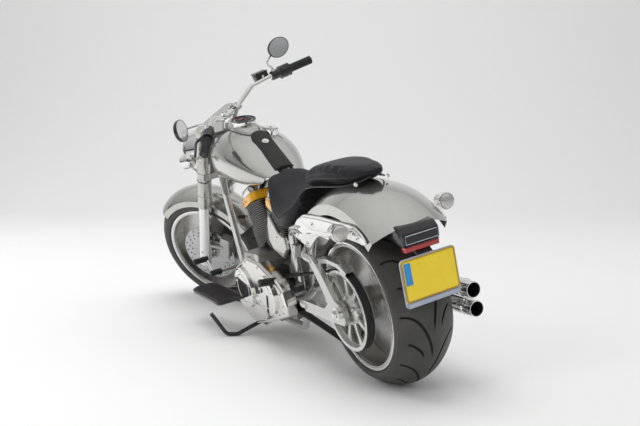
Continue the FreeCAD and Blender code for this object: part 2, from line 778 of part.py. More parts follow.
def make_exhaust():
    out = -n.muffler_out
    front = tube([(1030, -70, 560), (1110, -120, 530), (1112, -190, 330), (1040, -192, n.muffler_lower),
                  (640, -192, n.muffler_lower), (560, out, n.muffler_lower), (440, out, n.muffler_lower)], 22, 60)
    rear = tube([(682, -70, 546), (674, -170, 530), (648, -187, 430), (560, out, n.muffler_upper),
                 (440, out, n.muffler_upper)], 22, 55)
    headers = [trimmed(item, ["cylinders", "rocker_bases", "frame", "crankcase", "cam_cover"]) for item in (front, rear)]
    add_shape("exhaust_headers", Part.makeCompound(headers), STANCE)
    cans = []
    for level in (n.muffler_upper, n.muffler_lower):
        taper = rod(V(440, out, level), V(380, out, level), 24, n.muffler_radius)
        can = rod(V(380, out, level), V(-190, out, level), n.muffler_radius)
        tip = rod(V(-190, out, level), V(-243, out, level), n.muffler_radius - 3)
        hollow = rod(V(-120, out, level), V(-250, out, level), n.muffler_radius - 6)
        cans.append(joined([taper, can, tip]).cut(hollow))
    add_shape("mufflers", Part.makeCompound(cans), STANCE)


make_crankcase()
make_cylinders()
make_covers()
make_pushrods()
make_exhaust()


# Tank, console and seats

TANK = [(1282, 62, 704, 776), (1262, 98, 692, 822), (1228, 124, 688, 872), (1185, 142, 690, 914),
        (1125, 156, 692, 938), (1050, 164, 692, 942), (950, 165, 690, 922),
        (850, 152, 693, 880), (750, 118, 702, 815), (680, 84, 712, 770), (630, 50, 722, 748)]


def make_tank():
    sections = [oval(x, half, low, high, 2.3) for x, half, low, high in TANK]
    tank = skin_loft(sections)
    tunnel = joined([Part.makeBox(700, 2 * 96, 150, V(600, -96, 600)), Part.makeBox(700, 70, 300, V(600, -35, 560))])
    tank = tank.cut(tunnel)
    tank = trimmed(tank, ["frame", "rocker_covers", "rocker_bases"])
    add_shape("fuel_tank", tank, STANCE)


def make_console():
    top = skin_loft([oval(1122, 50, 880, 950, 3), oval(1060, 62, 880, 962, 3), oval(980, 56, 870, 948, 3),
                     oval(915, 26, 860, 926, 3)])
    top = trimmed(top, ["fuel_tank", "frame"])
    clock = rod(V(1054, 0, 930), V(1045, 0, 975), 54)
    top = max(top.cut(clock).Solids, key=lambda item: item.Volume)
    add_shape("tank_console", top, STANCE)
    add_shape("speedometer", trimmed(clock, ["fuel_tank"]), STANCE)
    cap = rod(V(927, -60, 880), V(920, -70, 926), 34)
    cap = cap.cut(top)
    add_shape("fuel_cap", trimmed(cap, ["fuel_tank"]), STANCE)


RIDER = [(742, 50, 724, 772), (690, 92, 690, 770), (620, 134, 632, 748), (540, 165, 566, 708), (460, 178, 546, 690),
         (400, 180, 566, 688), (345, 165, 615, 712), (300, 130, 668, 760)]
PILLION = [(-142, 46, 802, 826), (-100, 96, 782, 842), (0, 124, 760, 852), (100, 128, 752, 852), (200, 122, 740, 842),
           (300, 104, 720, 812), (342, 74, 738, 792)]


def make_seats():
    rider = skin_loft([oval(x, half, low, high, 2.6) for x, half, low, high in RIDER])
    rider = trimmed(rider, ["fuel_tank", "frame", "rear_fender", "fender_struts", "crankcase", "cylinders", "rocker_covers", "rocker_bases", "swingarm"])
    pillion = skin_loft([oval(x, half, low, high, 2.6) for x, half, low, high in PILLION])
    pillion = trimmed(pillion, ["rear_fender"]).cut(rider)
    rider = max(rider.Solids, key=lambda item: item.Volume)
    pillion = max(pillion.Solids, key=lambda item: item.Volume)
    add_shape("rider_seat", rider, STANCE)
    add_shape("pillion_seat", pillion, STANCE)
    strap = skin_loft([oval(905, 24, 860, 929, 4), oval(850, 33, 840, 892, 4), oval(750, 36, 790, 826, 4),
                       oval(690, 36, 750, 786, 4)])
    strap = trimmed(strap, ["fuel_tank", "tank_console", "rider_seat", "frame"])
    strap = max(strap.Solids, key=lambda item: item.Volume)
    add_shape("tank_strap", strap, STANCE)


SIDE_COVER = [(606, 616), (635, 570), (647, 503), (614, 464), (533, 441), (484, 482), (489, 532), (540, 545)]


def make_side_covers():
    cover = slab(SIDE_COVER, 134, 150)
    cover = cover.makeFillet(5, [edge for edge in cover.Edges if abs(edge.CenterOfMass.y - 150) < 0.1])
    post = rod(V(470, 118, 512), V(505, 142, 512), 8)
    pieces = trimmed(joined([cover, post]), ["rider_seat", "frame"])
    pieces = max(pieces.Solids, key=lambda item: item.Volume)
    add_shape("side_covers", both_sides(pieces), STANCE)


make_tank()
make_console()
make_seats()
make_side_covers()


# Foot controls and stand

def make_foot_controls():
    boards = []
    for side in (1, -1):
        pad_shape = slab([(905, 218), (1290, 218), (1290, 232), (905, 232)], 222 * side, 345 * side)
        arm = joined([rod(V(985, side * 100, 120), V(985, side * 250, 214), 9),
                      rod(V(1143, side * 100, 190), V(1180, side * 250, 214), 9)])
        board = trimmed(joined([pad_shape, arm]), ["frame", "crankcase", "primary_cover", "exhaust_headers", "cam_cover"])
        boards.append(max(board.Solids, key=lambda item: item.Volume))
    add_shape("floorboards", Part.makeCompound(boards), STANCE)
    lever = tube([(1060, 255, 330), (1157, 255, 300), (1225, 255, 362)], 8, 60)
    peg = rod(V(1222, 248, 364), V(1222, 318, 364), 12)
    heel = rod(V(1060, 248, 330), V(1060, 300, 330), 11)
    pivot = rod(V(1157, 100, 302), V(1157, 262, 302), 10)
    add_shape("shift_lever", trimmed(joined([lever, peg, heel, pivot]), ["frame", "primary_cover", "floorboards"]), STANCE)
    brake = tube([(1157, -100, 302), (1157, -262, 302), (1220, -262, 330)], 8, 20)
    brake_pad = chunk(1230, -262, 334, 60, 60, 12, 3)
    add_shape("brake_pedal", trimmed(joined([brake, brake_pad]), ["frame", "exhaust_headers", "floorboards"]), STANCE)
    pegs = []
    for side in (1, -1):
        arm = joined([rod(V(520, side * 150, 350), V(520, side * 200, 360), 9), rod(V(520, side * 195, 360), V(520, side * 275, 372), 13)])
        pegs.append(trimmed(arm, ["frame", "primary_cover", "swingarm", "exhaust_headers", "mufflers", "drive_belt", "front_pulley"]))
    add_shape("passenger_pegs", Part.makeCompound(pegs), STANCE)


def make_stand():
    """The rod's short straight foot lies on the ground plane."""
    feet = []
    for point in (V(904, 290, 60), V(920, 336, 60)):
        feet.append(point + UP * (n.stand_radius + GROUND_LEVEL - point.dot(UP)))
    tip = V(932, 378, 190)
    leg = tube([tuple(STAND_ROOT), tuple(feet[0]), tuple(feet[1]), tuple(tip)], n.stand_radius, 34)
    knuckle = on_stand_axis(Part.makeCylinder(15, 32, V(0, 0, -16)))
    hole = on_stand_axis(Part.makeCylinder(6 + n.running_gap, 40, V(0, 0, -20)))
    add_shape("side_stand", joined([leg, knuckle]).cut(hole), STANCE)


make_foot_controls()
make_stand()


# Fork, handlebar and what turns with them

def along_steering(height, ahead=0.0, left=0.0):
    """A point at a height on the steering axis, moved ahead at right angles to it."""
    foot, axis = steering_axis()
    across = V(axis.z, 0, -axis.x)
    return foot + axis * (height / axis.z) + across * ahead + V(0, left, 0)


def fork_offset():
    foot, axis = steering_axis()
    centre = V(n.wheelbase, 0, n.tyre_radius)
    across = V(axis.z, 0, -axis.x)
    return (centre - foot).dot(across)


def fork_point(up_leg, left=0.0, ahead=0.0):
    """A point this far up the fork leg line from the front axle."""
    foot, axis = steering_axis()
    across = V(axis.z, 0, -axis.x)
    return V(n.wheelbase, left, n.tyre_radius) + axis * up_leg + across * ahead


def make_fork():
    legs = []
    covers = []
    for side in (1, -1):
        left = side * n.fork_spread
        slider = rod(fork_point(-34, left), fork_point(330, left), n.fork_slider)
        upper = rod(fork_point(330, left), fork_point(690, left), n.fork_tube)
        leg = joined([slider, upper]).cut(rod(V(n.wheelbase, -200, n.tyre_radius), V(n.wheelbase, 200, n.tyre_radius), n.axle_radius))
        boss = rod(fork_point(300, left), fork_point(300, side * (n.front_fender_half + 0.3)), 11)
        legs.append(joined([leg, boss]))
        cover = rod(fork_point(400, left), fork_point(610, left), n.fork_slider + 3)
        covers.append(cover.cut(rod(fork_point(390, left), fork_point(620, left), n.fork_tube)))
    add_shape("fork_legs", Part.makeCompound(legs), STEERED)
    offset = fork_offset()
    foot, axis = steering_axis()
    across = V(axis.z, 0, -axis.x)
    clamps = []
    eye = n.fork_tube + 12
    hub = n.stem_radius + 12
    spread = n.fork_spread
    for level, tall in ((728, 34), (932, 26)):
        corners = [V(-hub, -hub * 0.6, 0), V(offset - eye * 0.7, -spread - eye * 0.6, 0), (V(offset + eye * 0.6, -spread - eye * 0.6, 0)),
                   V(offset + eye, -spread + 5, 0), V(offset + eye, spread - 5, 0), V(offset + eye * 0.6, spread + eye * 0.6, 0),
                   V(offset - eye * 0.7, spread + eye * 0.6, 0), V(-hub, hub * 0.6, 0)]
        web = Part.Face(Part.makePolygon(corners + corners[:1])).extrude(V(0, 0, tall))
        bosses = [Part.makeCylinder(eye, tall, V(offset, side * spread, 0)) for side in (1, -1)]
        plate = joined([web, Part.makeCylinder(hub, tall)] + bosses)
        plate.translate(V(0, 0, -tall / 2))
        turn = FreeCAD.Rotation(across, V(0, 1, 0), axis, "XYZ")
        plate.Placement = FreeCAD.Placement(along_steering(level), turn)
        clamps.append(plate)
    stem = rod(along_steering(728), along_steering(932), n.stem_radius)
    clamps.append(stem)
    yoke = trimmed(joined(clamps), ["fork_legs"])
    covers = [item.cut(yoke) for item in covers]
    add_shape("triple_clamps", yoke, STEERED)
    add_shape("fork_covers", Part.makeCompound([max(item.Solids, key=lambda piece: piece.Volume) for item in covers]), STEERED)


make_fork()


def make_headlamp():
    shell = rod(V(1405, 0, 850), V(1500, 0, 850), 98)
    back = rod(V(1405, 0, 850), V(1352, 0, 850), 98, 40)
    lamp = trimmed(joined([shell, back]), ["triple_clamps", "fork_legs", "fork_covers"])
    lamp = max(lamp.Solids, key=lambda piece: piece.Volume)
    add_shape("headlamp", lamp, STEERED)
    signals = []
    for side in (1, -1):
        stalk = rod(V(1370, side * 120, 875), V(1375, side * 190, 888), 8)
        bulb = rod(V(1345, side * 205, 892), V(1415, side * 205, 892), 40)
        signals.append(trimmed(joined([stalk, bulb]), ["fork_legs", "fork_covers", "triple_clamps", "headlamp"]))
    add_shape("front_signals", Part.makeCompound([max(item.Solids, key=lambda piece: piece.Volume) for item in signals]), STEERED)


def make_bar():
    side_run = [(1184, 0, 1008), (1184, 60, 1008), (1150, 165, 1050), (1098, 270, 1044), (998, n.grip_end, 1018)]
    left = tube(side_run, n.bar_radius, 60)
    right = mirrored(left)
    bar = joined([left, right])
    risers = []
    for side in (1, -1):
        post = rod(along_steering(936, 0, side * 42), along_steering(1008, 0, side * 42), 17)
        clamp = rod(V(1184, side * 42 - 18, 1008), V(1184, side * 42 + 18, 1008), 24)
        risers.append(joined([post, clamp]))
    bar = joined([bar] + risers)
    bar = trimmed(bar, ["triple_clamps"])
    inner = V(1098, 270, 1044)
    end = V(998, n.grip_end, 1018)
    line = (end - inner).normalize()
    grips = []
    blocks = []
    levers = []
    for side in (1, -1):
        flip = (lambda item: item) if side == 1 else mirrored
        grip = rod(end - line * 118, end + line * 6, n.grip_radius)
        block = rod(end - line * 168, end - line * 119, 30)
        perch = rod(end - line * 215, end - line * 178, 22)
        lever = tube([tuple(end - line * 196 + V(16, 0, -6)), tuple(end - line * 150 + V(70, 8, -8)), tuple(end - line * 20 + V(60, 8, -14))], 6, 40)
        grips.append(flip(grip.cut(left)))
        blocks.append(flip(joined([block, perch]).cut(left)))
        levers.append(flip(lever.cut(joined([block, perch]))))
    add_shape("handlebar", bar, STEERED)
    add_shape("grips", Part.makeCompound(grips), STEERED)
    add_shape("hand_controls", Part.makeCompound([trimmed(item, ["handlebar"]) for item in blocks]), STEERED)
    add_shape("hand_levers", Part.makeCompound([trimmed(item, ["handlebar", "hand_controls"]) for item in levers]), STEERED)
    mirrors = []
    for side in (1, -1):
        perch = end - line * 196
        stem = tube([tuple(perch + V(0, 0, 18)), (1130, 310, 1090), (1115, 425, 1120)], 5, 40)
        head = rod(V(1112, 425, 1124), V(1130, 432, 1124), 46)
        piece = joined([stem, head])
        mirrors.append(piece if side == 1 else mirrored(piece))
    add_shape("mirrors", Part.makeCompound([trimmed(item, ["hand_controls", "handlebar"]) for item in mirrors]), STEERED)


def make_calipers():
    front = chunk(0, 0, 0, 56, 48, 120, 6)
    spot = fork_point(85, 79, -98)
    turn = FreeCAD.Rotation(V(0, 1, 0), -n.rake)
    front.Placement = FreeCAD.Placement(spot, turn)
    slot = Part.makeCylinder(n.front_disc_radius + 5, 16, V(n.wheelbase, 71, n.tyre_radius), V(0, 1, 0))
    lug = rod(fork_point(85, 95, -90), fork_point(85, n.fork_spread, 0), 12)
    front = joined([front, lug]).cut(slot)
    add_shape("front_caliper", trimmed(front, ["fork_legs"]), STEERED)
    rear = chunk(-60, -106, n.tyre_radius + 130, 120, 34, 60, 6)
    slot = Part.makeCylinder(n.rear_disc_radius + 5, 12, V(0, -93, n.tyre_radius), V(0, -1, 0))
    lug = rod(V(-40, -120, n.tyre_radius + 120), V(-10, -160, n.tyre_radius + 30), 12)
    add_shape("rear_caliper", trimmed(joined([rear, lug]).cut(slot), ["swingarm", "rear_axle"]), STANCE)


make_headlamp()
make_bar()
make_calipers()

doc.recompute()
for item in doc.Objects:
    if "Invalid" in item.State or "Error" in item.State:
        raise RuntimeError("not rebuilt: " + item.Label)
for item in sub_parts:
    shape = item.Shape
    if shape.isNull() or not shape.isValid() or not shape.Solids:
        raise RuntimeError("bad shape: " + item.Label)
    shape.exportStep("parts/%s.step" % item.Label)
    print(item.Label, len(shape.Solids), round(shape.Volume))
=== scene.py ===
import bpy
import bmesh
import json
import math
import numpy
from mathutils import Matrix, Vector


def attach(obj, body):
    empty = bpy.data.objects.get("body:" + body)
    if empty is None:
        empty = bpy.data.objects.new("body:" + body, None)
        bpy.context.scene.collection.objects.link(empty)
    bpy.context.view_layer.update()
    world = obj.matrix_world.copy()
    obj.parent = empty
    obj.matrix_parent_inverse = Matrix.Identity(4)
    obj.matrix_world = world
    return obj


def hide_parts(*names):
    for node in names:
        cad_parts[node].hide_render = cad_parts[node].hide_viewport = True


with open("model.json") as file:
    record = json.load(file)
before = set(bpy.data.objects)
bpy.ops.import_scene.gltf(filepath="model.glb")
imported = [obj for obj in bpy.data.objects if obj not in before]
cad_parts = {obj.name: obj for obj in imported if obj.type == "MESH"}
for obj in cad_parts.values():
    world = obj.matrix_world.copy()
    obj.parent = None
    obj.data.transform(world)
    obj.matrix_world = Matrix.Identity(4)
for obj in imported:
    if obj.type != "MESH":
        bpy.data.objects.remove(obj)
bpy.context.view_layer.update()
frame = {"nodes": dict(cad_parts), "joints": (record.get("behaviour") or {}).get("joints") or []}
NODES = frame["nodes"]


# Places: shapes are drawn in upright millimetres, X ahead, Y left, Z up, from the middle of the rear axle

JOINTS = {joint["name"]: joint for joint in frame["joints"]}
REAR_AXLE = Vector(JOINTS["rear_wheel_spin"]["pos_m"])
LEFT = Vector(JOINTS["rear_wheel_spin"]["axis"]).normalized()
STEER = Vector(JOINTS["steering"]["axis"]).normalized()
STEER_POINT = Vector(JOINTS["steering"]["pos_m"])
RAKE = math.radians(30)
STEERED = math.radians(34)
AHEAD = -(STEER * math.sin(RAKE) + STEER.cross(LEFT) * math.cos(RAKE))
SKY = AHEAD.cross(LEFT)
UPRIGHT = (Matrix.Translation(REAR_AXLE) @ Matrix((AHEAD, LEFT, SKY)).transposed().to_4x4()
           @ Matrix.Scale(0.001, 4))
TURNED = (Matrix.Translation(STEER_POINT) @ Matrix.Rotation(STEERED, 4, STEER)
          @ Matrix.Translation(-STEER_POINT) @ UPRIGHT)
WORLD = Matrix.Identity(4)
CARRIERS = {"chassis": UPRIGHT, "rear_wheel": UPRIGHT, "fork": TURNED, "front_wheel": TURNED}
SIDES = (1, -1)
MIDDLE = Vector((0, 0, 0))
X = Vector((1, 0, 0))
Y = Vector((0, 1, 0))
Z = Vector((0, 0, 1))
PIVOT = 500.0
CRANK = 850.0
HEAD = 1581.6
CREST = 447.0
TYRE_RADIUS = 324.5
RIM_LIP = 243.0
FRONT_AXLE = X * 1664.97
STEER_UP = Vector((-math.sin(RAKE), 0, math.cos(RAKE)))
STEER_AHEAD = Vector((math.cos(RAKE), 0, math.sin(RAKE)))
FORK_HALF = 120
CLAMP_LOW = 403.5
CLAMP_HIGH = 607.5
LAMP = Vector((1278.5, 0, 525))
BAR = Vector((1184.3, 0, 683))
GRIP_END = BAR + Vector((-186, 463, 10))
GRIP_LINE = (GRIP_END - (BAR + Vector((-86, 270, 36)))).normalized()
LEVER_BACK = 196


def fork_point(height, left, ahead=0.0):
    return FRONT_AXLE + Y * left + STEER_UP * height + STEER_AHEAD * ahead


def leg_reach(height):
    """How far up the fork leg a clamp sits that crosses the steering axis at a height."""
    return height / math.cos(RAKE) + 41.7


def flipped(point, side):
    return Vector((point[0], point[1] * side, point[2]))


def spoke(degrees):
    """The way out from a crosswise axle."""
    angle = math.radians(degrees)
    return Vector((math.cos(angle), 0, math.sin(angle)))


def plane(origin, a_way, b_way, level_way):
    """A map from (a, b, level) to a place."""
    return lambda a, b, level: origin + a_way * a + b_way * b + level_way * level


def span(node, where):
    """Lowest and highest corners of a node in upright millimetres."""
    back = where.inverted()
    points = [back @ vertex.co for vertex in NODES[node].data.vertices]
    return [Vector([limit(point[axis] for point in points) for axis in range(3)]) for limit in (min, max)]


def tank_height(x, y):
    """Height of the tank's top at a place, in upright millimetres."""
    start = UPRIGHT @ Vector((x, y, 1200))
    hit, place, _, _ = NODES["fuel_tank"].ray_cast(start, (UPRIGHT @ Vector((x, y, 0)) - start).normalized())
    return (UPRIGHT.inverted() @ place).z if hit else 560.0


# Numbers and outlines

def steps(low, high, count):
    """Numbers from low to high in equal steps, with both ends."""
    return [low + (high - low) * step / count for step in range(count + 1)]


def quarter(count):
    """Angles from zero to a right angle."""
    return [math.radians(degrees) for degrees in steps(0, 90, count)]


def ease(value, low, high):
    share = min(1.0, max(0.0, (value - low) / (high - low)))
    return share * share * (3 - 2 * share)


def nearby(points, index, closed=False):
    """The point at an index; an open line goes on with its end point."""
    return points[index % len(points) if closed else min(max(index, 0), len(points) - 1)]


def smooth_lookup(table, x, column):
    """A value on a smooth line through a table's rows."""
    if x <= table[0][0]:
        return table[0][column]
    for index in range(len(table) - 1):
        if x <= table[index + 1][0]:
            a, b, c, d = (nearby(table, index + step) for step in (-1, 0, 1, 2))
            run = c[0] - b[0]
            t = (x - b[0]) / run
            slope_b = (c[column] - a[column]) / (c[0] - a[0]) * run
            slope_c = (d[column] - b[column]) / (d[0] - b[0]) * run
            return ((2 * t ** 3 - 3 * t ** 2 + 1) * b[column] + (t ** 3 - 2 * t ** 2 + t) * slope_b
                    + (-2 * t ** 3 + 3 * t ** 2) * c[column] + (t ** 3 - t ** 2) * slope_c)
    return table[-1][column]


def smooth_path(points):
    """Points joined by a smooth line through them."""
    points = [Vector(point) for point in points]
    path = []
    for index in range(len(points) - 1):
        a, b, c, d = (nearby(points, index + step) for step in (-1, 0, 1, 2))
        for t in steps(0, 1, 8)[:-1]:
            path.append(((b * 2) + (c - a) * t + (a * 2 - b * 5 + c * 4 - d) * (t * t)
                         + (b * 3 - a - c * 3 + d) * (t * t * t)) * 0.5)
    return path + points[-1:]


def circle(centre, side, other, radius, sides):
    """Points round a centre in the plane of two directions."""
    points = []
    for angle in steps(0, 2 * math.pi, sides)[:-1]:
        points.append(centre + (side * math.cos(angle) + other * math.sin(angle)) * radius)
    return points


def corners(outline):
    """Each point of an outline between the ones before and after it."""
    points = [Vector(point) for point in outline]
    return list(zip(points[-1:] + points[:-1], points, points[1:] + points[:1]))


def shrunk(outline, inset):
    """A closed outline drawn in towards its inside."""
    area = sum(here.x * after.y - after.x * here.y for before, here, after in corners(outline))
    inset = inset if area > 0 else -inset
    inner = []
    for before, here, after in corners(outline):
        run = ((here - before).normalized() + (after - here).normalized()).normalized()
        inner.append((here.x - run.y * inset, here.y + run.x * inset))
    return inner


def round_rect(half_a, half_b, radius, count=5):
    """Corners rounded, anticlockwise from the right side."""
    points = []
    for index, (a, b) in enumerate(((1, 1), (-1, 1), (-1, -1), (1, -1))):
        for degrees in steps(90 * index, 90 * index + 90, count):
            way = spoke(degrees) * radius
            points.append((a * (half_a - radius) + way.x, b * (half_b - radius) + way.z))
    return points


def rounded(outline, radius):
    """An outline with its corners rounded, less where its edges are short."""
    points = []
    for before, here, after in corners(outline):
        reach = min(radius, (before - here).length * 0.45, (after - here).length * 0.45)
        start = here + (before - here).normalized() * reach
        end = here + (after - here).normalized() * reach
        for t in steps(0, 1, 5):
            spot = start * (1 - t) ** 2 + here * (2 * t * (1 - t)) + end * t ** 2
            points.append((spot.x, spot.y))
    return points


def cut_corners(half_a, half_b, corner):
    """A rectangle with its corners cut off."""
    points = []
    for a, b in ((1, 1), (-1, 1), (-1, -1), (1, -1)):
        ends = [(a * half_a, b * (half_b - corner)), (a * (half_a - corner), b * half_b)]
        points += ends if a * b > 0 else ends[::-1]
    return points


def mirrored(half):
    """Half an outline and its mirror image."""
    return half + [(a, -b) for a, b in reversed(half)]


def moved(outline, a, b):
    return [(spot[0] + a, spot[1] + b) for spot in outline]


def ribs(start, stop, pitch, marks, high, low):
    """A profile of ribs along a handle; the marks say how far each one stands, falls and lies low."""
    profile = []
    while start < stop:
        profile += zip([start] + [start + mark for mark in marks], (high, high, low, low))
        start += pitch
    return profile


# Materials

def new_material(name):
    material = bpy.data.materials.new(name)
    material.use_nodes = True
    tree = material.node_tree
    place = add(tree, "ShaderNodeTexCoord").outputs["Object"]
    return material, tree, tree.nodes["Principled BSDF"], place


def feed(tree, node, inputs):
    """Sets a node's inputs: another node's output is linked, anything else is a value."""
    for key, value in inputs.items():
        if isinstance(value, bpy.types.NodeSocket):
            tree.links.new(value, node.inputs[key])
        else:
            node.inputs[key].default_value = value


def add(tree, kind, inputs={}, **settings):
    made = tree.nodes.new(kind)
    for key, value in settings.items():
        setattr(made, key, value)
    feed(tree, made, inputs)
    return made


def noise(tree, place, scale, detail, rough):
    inputs = {"Vector": place, "Scale": scale, "Detail": detail, "Roughness": rough}
    return add(tree, "ShaderNodeTexNoise", inputs).outputs["Fac"]


def cells(tree, place, scale, **settings):
    made = add(tree, "ShaderNodeTexVoronoi", {"Vector": place, "Scale": scale}, **settings)
    return made, made.outputs["Distance"]


def ramp(tree, value, stops):
    made = add(tree, "ShaderNodeValToRGB", {"Fac": value})
    elements = made.color_ramp.elements
    while len(elements) < len(stops):
        elements.new(0.5)
    for element, (place, colour) in zip(elements, stops):
        element.position = place
        element.color = (*colour, 1)
    return made.outputs["Color"]


def spread(tree, value, low, high, from_low=0.3, from_high=0.7):
    inputs = {"Value": value, "From Min": from_low, "From Max": from_high, "To Min": low, "To Max": high}
    return add(tree, "ShaderNodeMapRange", inputs).outputs["Result"]


def bump(tree, height, strength, distance):
    inputs = {"Height": height, "Strength": strength, "Distance": distance}
    return add(tree, "ShaderNodeBump", inputs).outputs["Normal"]


def along_way(tree, place, way):
    """How far a place or direction lies along a way."""
    made = add(tree, "ShaderNodeVectorMath", {0: place, 1: way}, operation="DOT_PRODUCT")
    return made.outputs["Value"]


def toned(colour, amount):
    return tuple(min(1.0, part * amount + (0.004 if amount > 1 else 0.0)) for part in colour)


def grey(tone):
    return (tone, tone, tone)


def metal(name, colour, rough, metallic=1.0, coat=0.0, wear=0.08, scale=40.0, relief=0.00002):
    """A metal or metallic paint: cloudy tone, uneven gloss and fine relief."""
    material, tree, shader, place = new_material(name)
    cloud = noise(tree, place, scale, 5.0, 0.55)
    smear = noise(tree, place, 7.0, 6.0, 0.6)
    fine = noise(tree, place, scale * 12, 3.0, 0.6)
    feed(tree, shader, {
        "Base Color": ramp(tree, cloud, [(0.3, toned(colour, 1 - wear)), (0.7, toned(colour, 1 + wear / 2))]),
        "Roughness": spread(tree, smear, rough * 0.7, rough * 1.35),
        "Metallic": metallic, "Coat Weight": coat, "Coat Roughness": 0.03,
        "Normal": bump(tree, fine, 0.25, relief)})
    return material


def plastic(name, colour, rough, grain=0.00015, scale=600.0, wear=0.2):
    """Moulded or painted stuff: grain in the height, cloudy tone and gloss."""
    material, tree, shader, place = new_material(name)
    cloud = noise(tree, place, 18.0, 4.0, 0.5)
    grains = noise(tree, place, scale, 3.0, 0.6)
    feed(tree, shader, {
        "Base Color": ramp(tree, cloud, [(0.3, colour), (0.7, toned(colour, 1 + wear))]),
        "Roughness": spread(tree, grains, rough * 0.85, min(1.0, rough * 1.15)),
        "Normal": bump(tree, grains, 0.4, grain)})
    return material


def leather(name, colour):
    """Leather with pebbled grain and a slightly paler tone in clouds."""
    material, tree, shader, place = new_material(name)
    distance = cells(tree, place, 420.0, feature="DISTANCE_TO_EDGE")[1]
    cloud = noise(tree, place, 9.0, 5.0, 0.55)
    feed(tree, shader, {
        "Base Color": ramp(tree, cloud, [(0.3, colour), (0.75, toned(colour, 1.45))]),
        "Roughness": spread(tree, cloud, 0.40, 0.54), "Sheen Weight": 0.02, "Specular IOR Level": 0.32,
        "Normal": bump(tree, spread(tree, distance, 0.0, 1.0, 0.0, 0.12), 0.3, 0.00025)})
    return material


def lens(name, colour, metallic, scale):
    """Moulded lens: a pattern of small flutes over a bright reflector, each flute painted darker in its hollow
    as shade.
    """
    material, tree, shader, place = new_material(name)
    flutes, depth = cells(tree, place, scale, feature="F1", distance="CHEBYCHEV")
    feed(tree, flutes, {"Randomness": 0.15})
    feed(tree, shader, {
        # The colour follows the flute depth: darker in each hollow as painted shade.
        "Base Color": ramp(tree, depth, [(0.0, toned(colour, 0.55)), (0.6, colour)]),
        "Roughness": spread(tree, noise(tree, place, 60.0, 3.0, 0.5), 0.06, 0.14), "Metallic": metallic,
        "Coat Weight": 1.0, "Coat Roughness": 0.02, "Normal": bump(tree, depth, 0.7, 0.002)})
    return material


M = {
    "silver": metal("silver_paint", (0.56, 0.56, 0.535), 0.15, 0.90, coat=0.6, wear=0.03, scale=25.0),
    "frame": metal("frame_silver", (0.66, 0.66, 0.64), 0.22, 0.8, coat=0.4, wear=0.06),
    "chrome": metal("chrome_plate", (0.86, 0.86, 0.85), 0.045, wear=0.03),
    "alloy": metal("brushed_alloy", (0.60, 0.595, 0.575), 0.30),
    "satin": metal("satin_silver", (0.72, 0.72, 0.69), 0.26, 0.75, coat=0.3, wear=0.05),
    "cover": metal("polished_cover", (0.84, 0.83, 0.80), 0.12, wear=0.04),
    "cast": metal("cast_alloy", (0.50, 0.50, 0.49), 0.36, wear=0.12, relief=0.0003),
    "black_engine": metal("engine_black", (0.018, 0.018, 0.020), 0.38, 0.2, wear=0.3, relief=0.0003),
    "fin": metal("machined_fin", (0.62, 0.61, 0.58), 0.3, wear=0.15, scale=60.0),
    "yellow": metal("yellow_enamel", (0.90, 0.44, 0.012), 0.22, 0.1, coat=0.8, wear=0.10),
    "steel": metal("ground_steel", (0.52, 0.52, 0.53), 0.26, wear=0.1),
    "black_metal": metal("black_enamel", (0.011, 0.011, 0.012), 0.28, 0.1, coat=0.4, wear=0.3),
    "mirror": metal("mirror_glass", (0.86, 0.87, 0.88), 0.06, 0.6, wear=0.02),
    "rubber": plastic("black_rubber", (0.017, 0.017, 0.018), 0.6),
    "board": plastic("floorboard_rubber", (0.030, 0.027, 0.030), 0.5),
    "tyre": plastic("tyre_rubber", (0.040, 0.039, 0.037), 0.5, grain=0.0002, scale=900.0, wear=0.35),
    # Near-black rubber for the groove faces: painted shade in the tyre grooves.
    "groove": plastic("tyre_groove_shade", grey(0.006), 0.8, grain=0.0002, scale=900.0),
    "belt": plastic("belt_rubber", grey(0.02), 0.7),
    "thread": plastic("seat_thread", (0.035, 0.035, 0.038), 0.7, wear=0.4),
    "plate": plastic("plate_yellow", (0.93, 0.70, 0.03), 0.32, grain=0.00005, wear=0.05),
    "plate_rim": plastic("plate_rim", (0.42, 0.26, 0.02), 0.4, grain=0.00005),
    "band": plastic("plate_band", (0.02, 0.27, 0.68), 0.35, grain=0.00005),
    "carrier": plastic("carrier_grey", (0.38, 0.42, 0.50), 0.4),
    "dial": plastic("dial_black", (0.006, 0.006, 0.007), 0.5),
    "mark": plastic("dial_mark", (0.75, 0.75, 0.72), 0.5),
    "needle": plastic("dial_needle", (0.75, 0.12, 0.02), 0.4),
    "leather": leather("black_leather", (0.009, 0.009, 0.011)),
    "strap": leather("strap_leather", (0.015, 0.014, 0.0135)),
    "red_lens": lens("red_lens", (0.60, 0.025, 0.022), 0.0, 120.0),
    "clear_lens": lens("clear_lens", (0.72, 0.71, 0.68), 0.55, 150.0),
}

NODE_MATERIALS = {
    "silver": "fuel_tank tank_console side_covers rear_fender front_fender fork_covers triple_clamps",
    "frame": "frame swingarm belt_guard",
    "chrome": "rear_axle rocker_covers pushrod_tubes air_cleaner exhaust_headers mufflers speedometer "
              "fuel_cap fender_struts rear_signals shift_lever brake_pedal fork_legs headlamp front_signals "
              "front_axle handlebar mirrors",
    "alloy": "rear_wheel front_wheel",
    "satin": "rear_pulley",
    "cover": "primary_cover cam_cover",
    "cast": "crankcase rear_caliper front_caliper",
    "black_engine": "cylinders",
    "yellow": "rocker_bases",
    "steel": "front_pulley rear_brake_disc front_brake_disc",
    "black_metal": "plate_bracket passenger_pegs side_stand hand_controls hand_levers",
    "rubber": "grips",
    "board": "floorboards",
    "tyre": "rear_tyre front_tyre",
    "belt": "drive_belt",
    "leather": "rider_seat pillion_seat",
    "strap": "tank_strap",
    "red_lens": "tail_lamp",
    "plate": "licence_plate",
}

for key, names in NODE_MATERIALS.items():
    for name in names.split():
        mesh = NODES[name].data
        if not mesh.materials:
            mesh.materials.append(M[key])
        for entry in NODES[name].material_slots:
            entry.material = M[key]


# Shapes

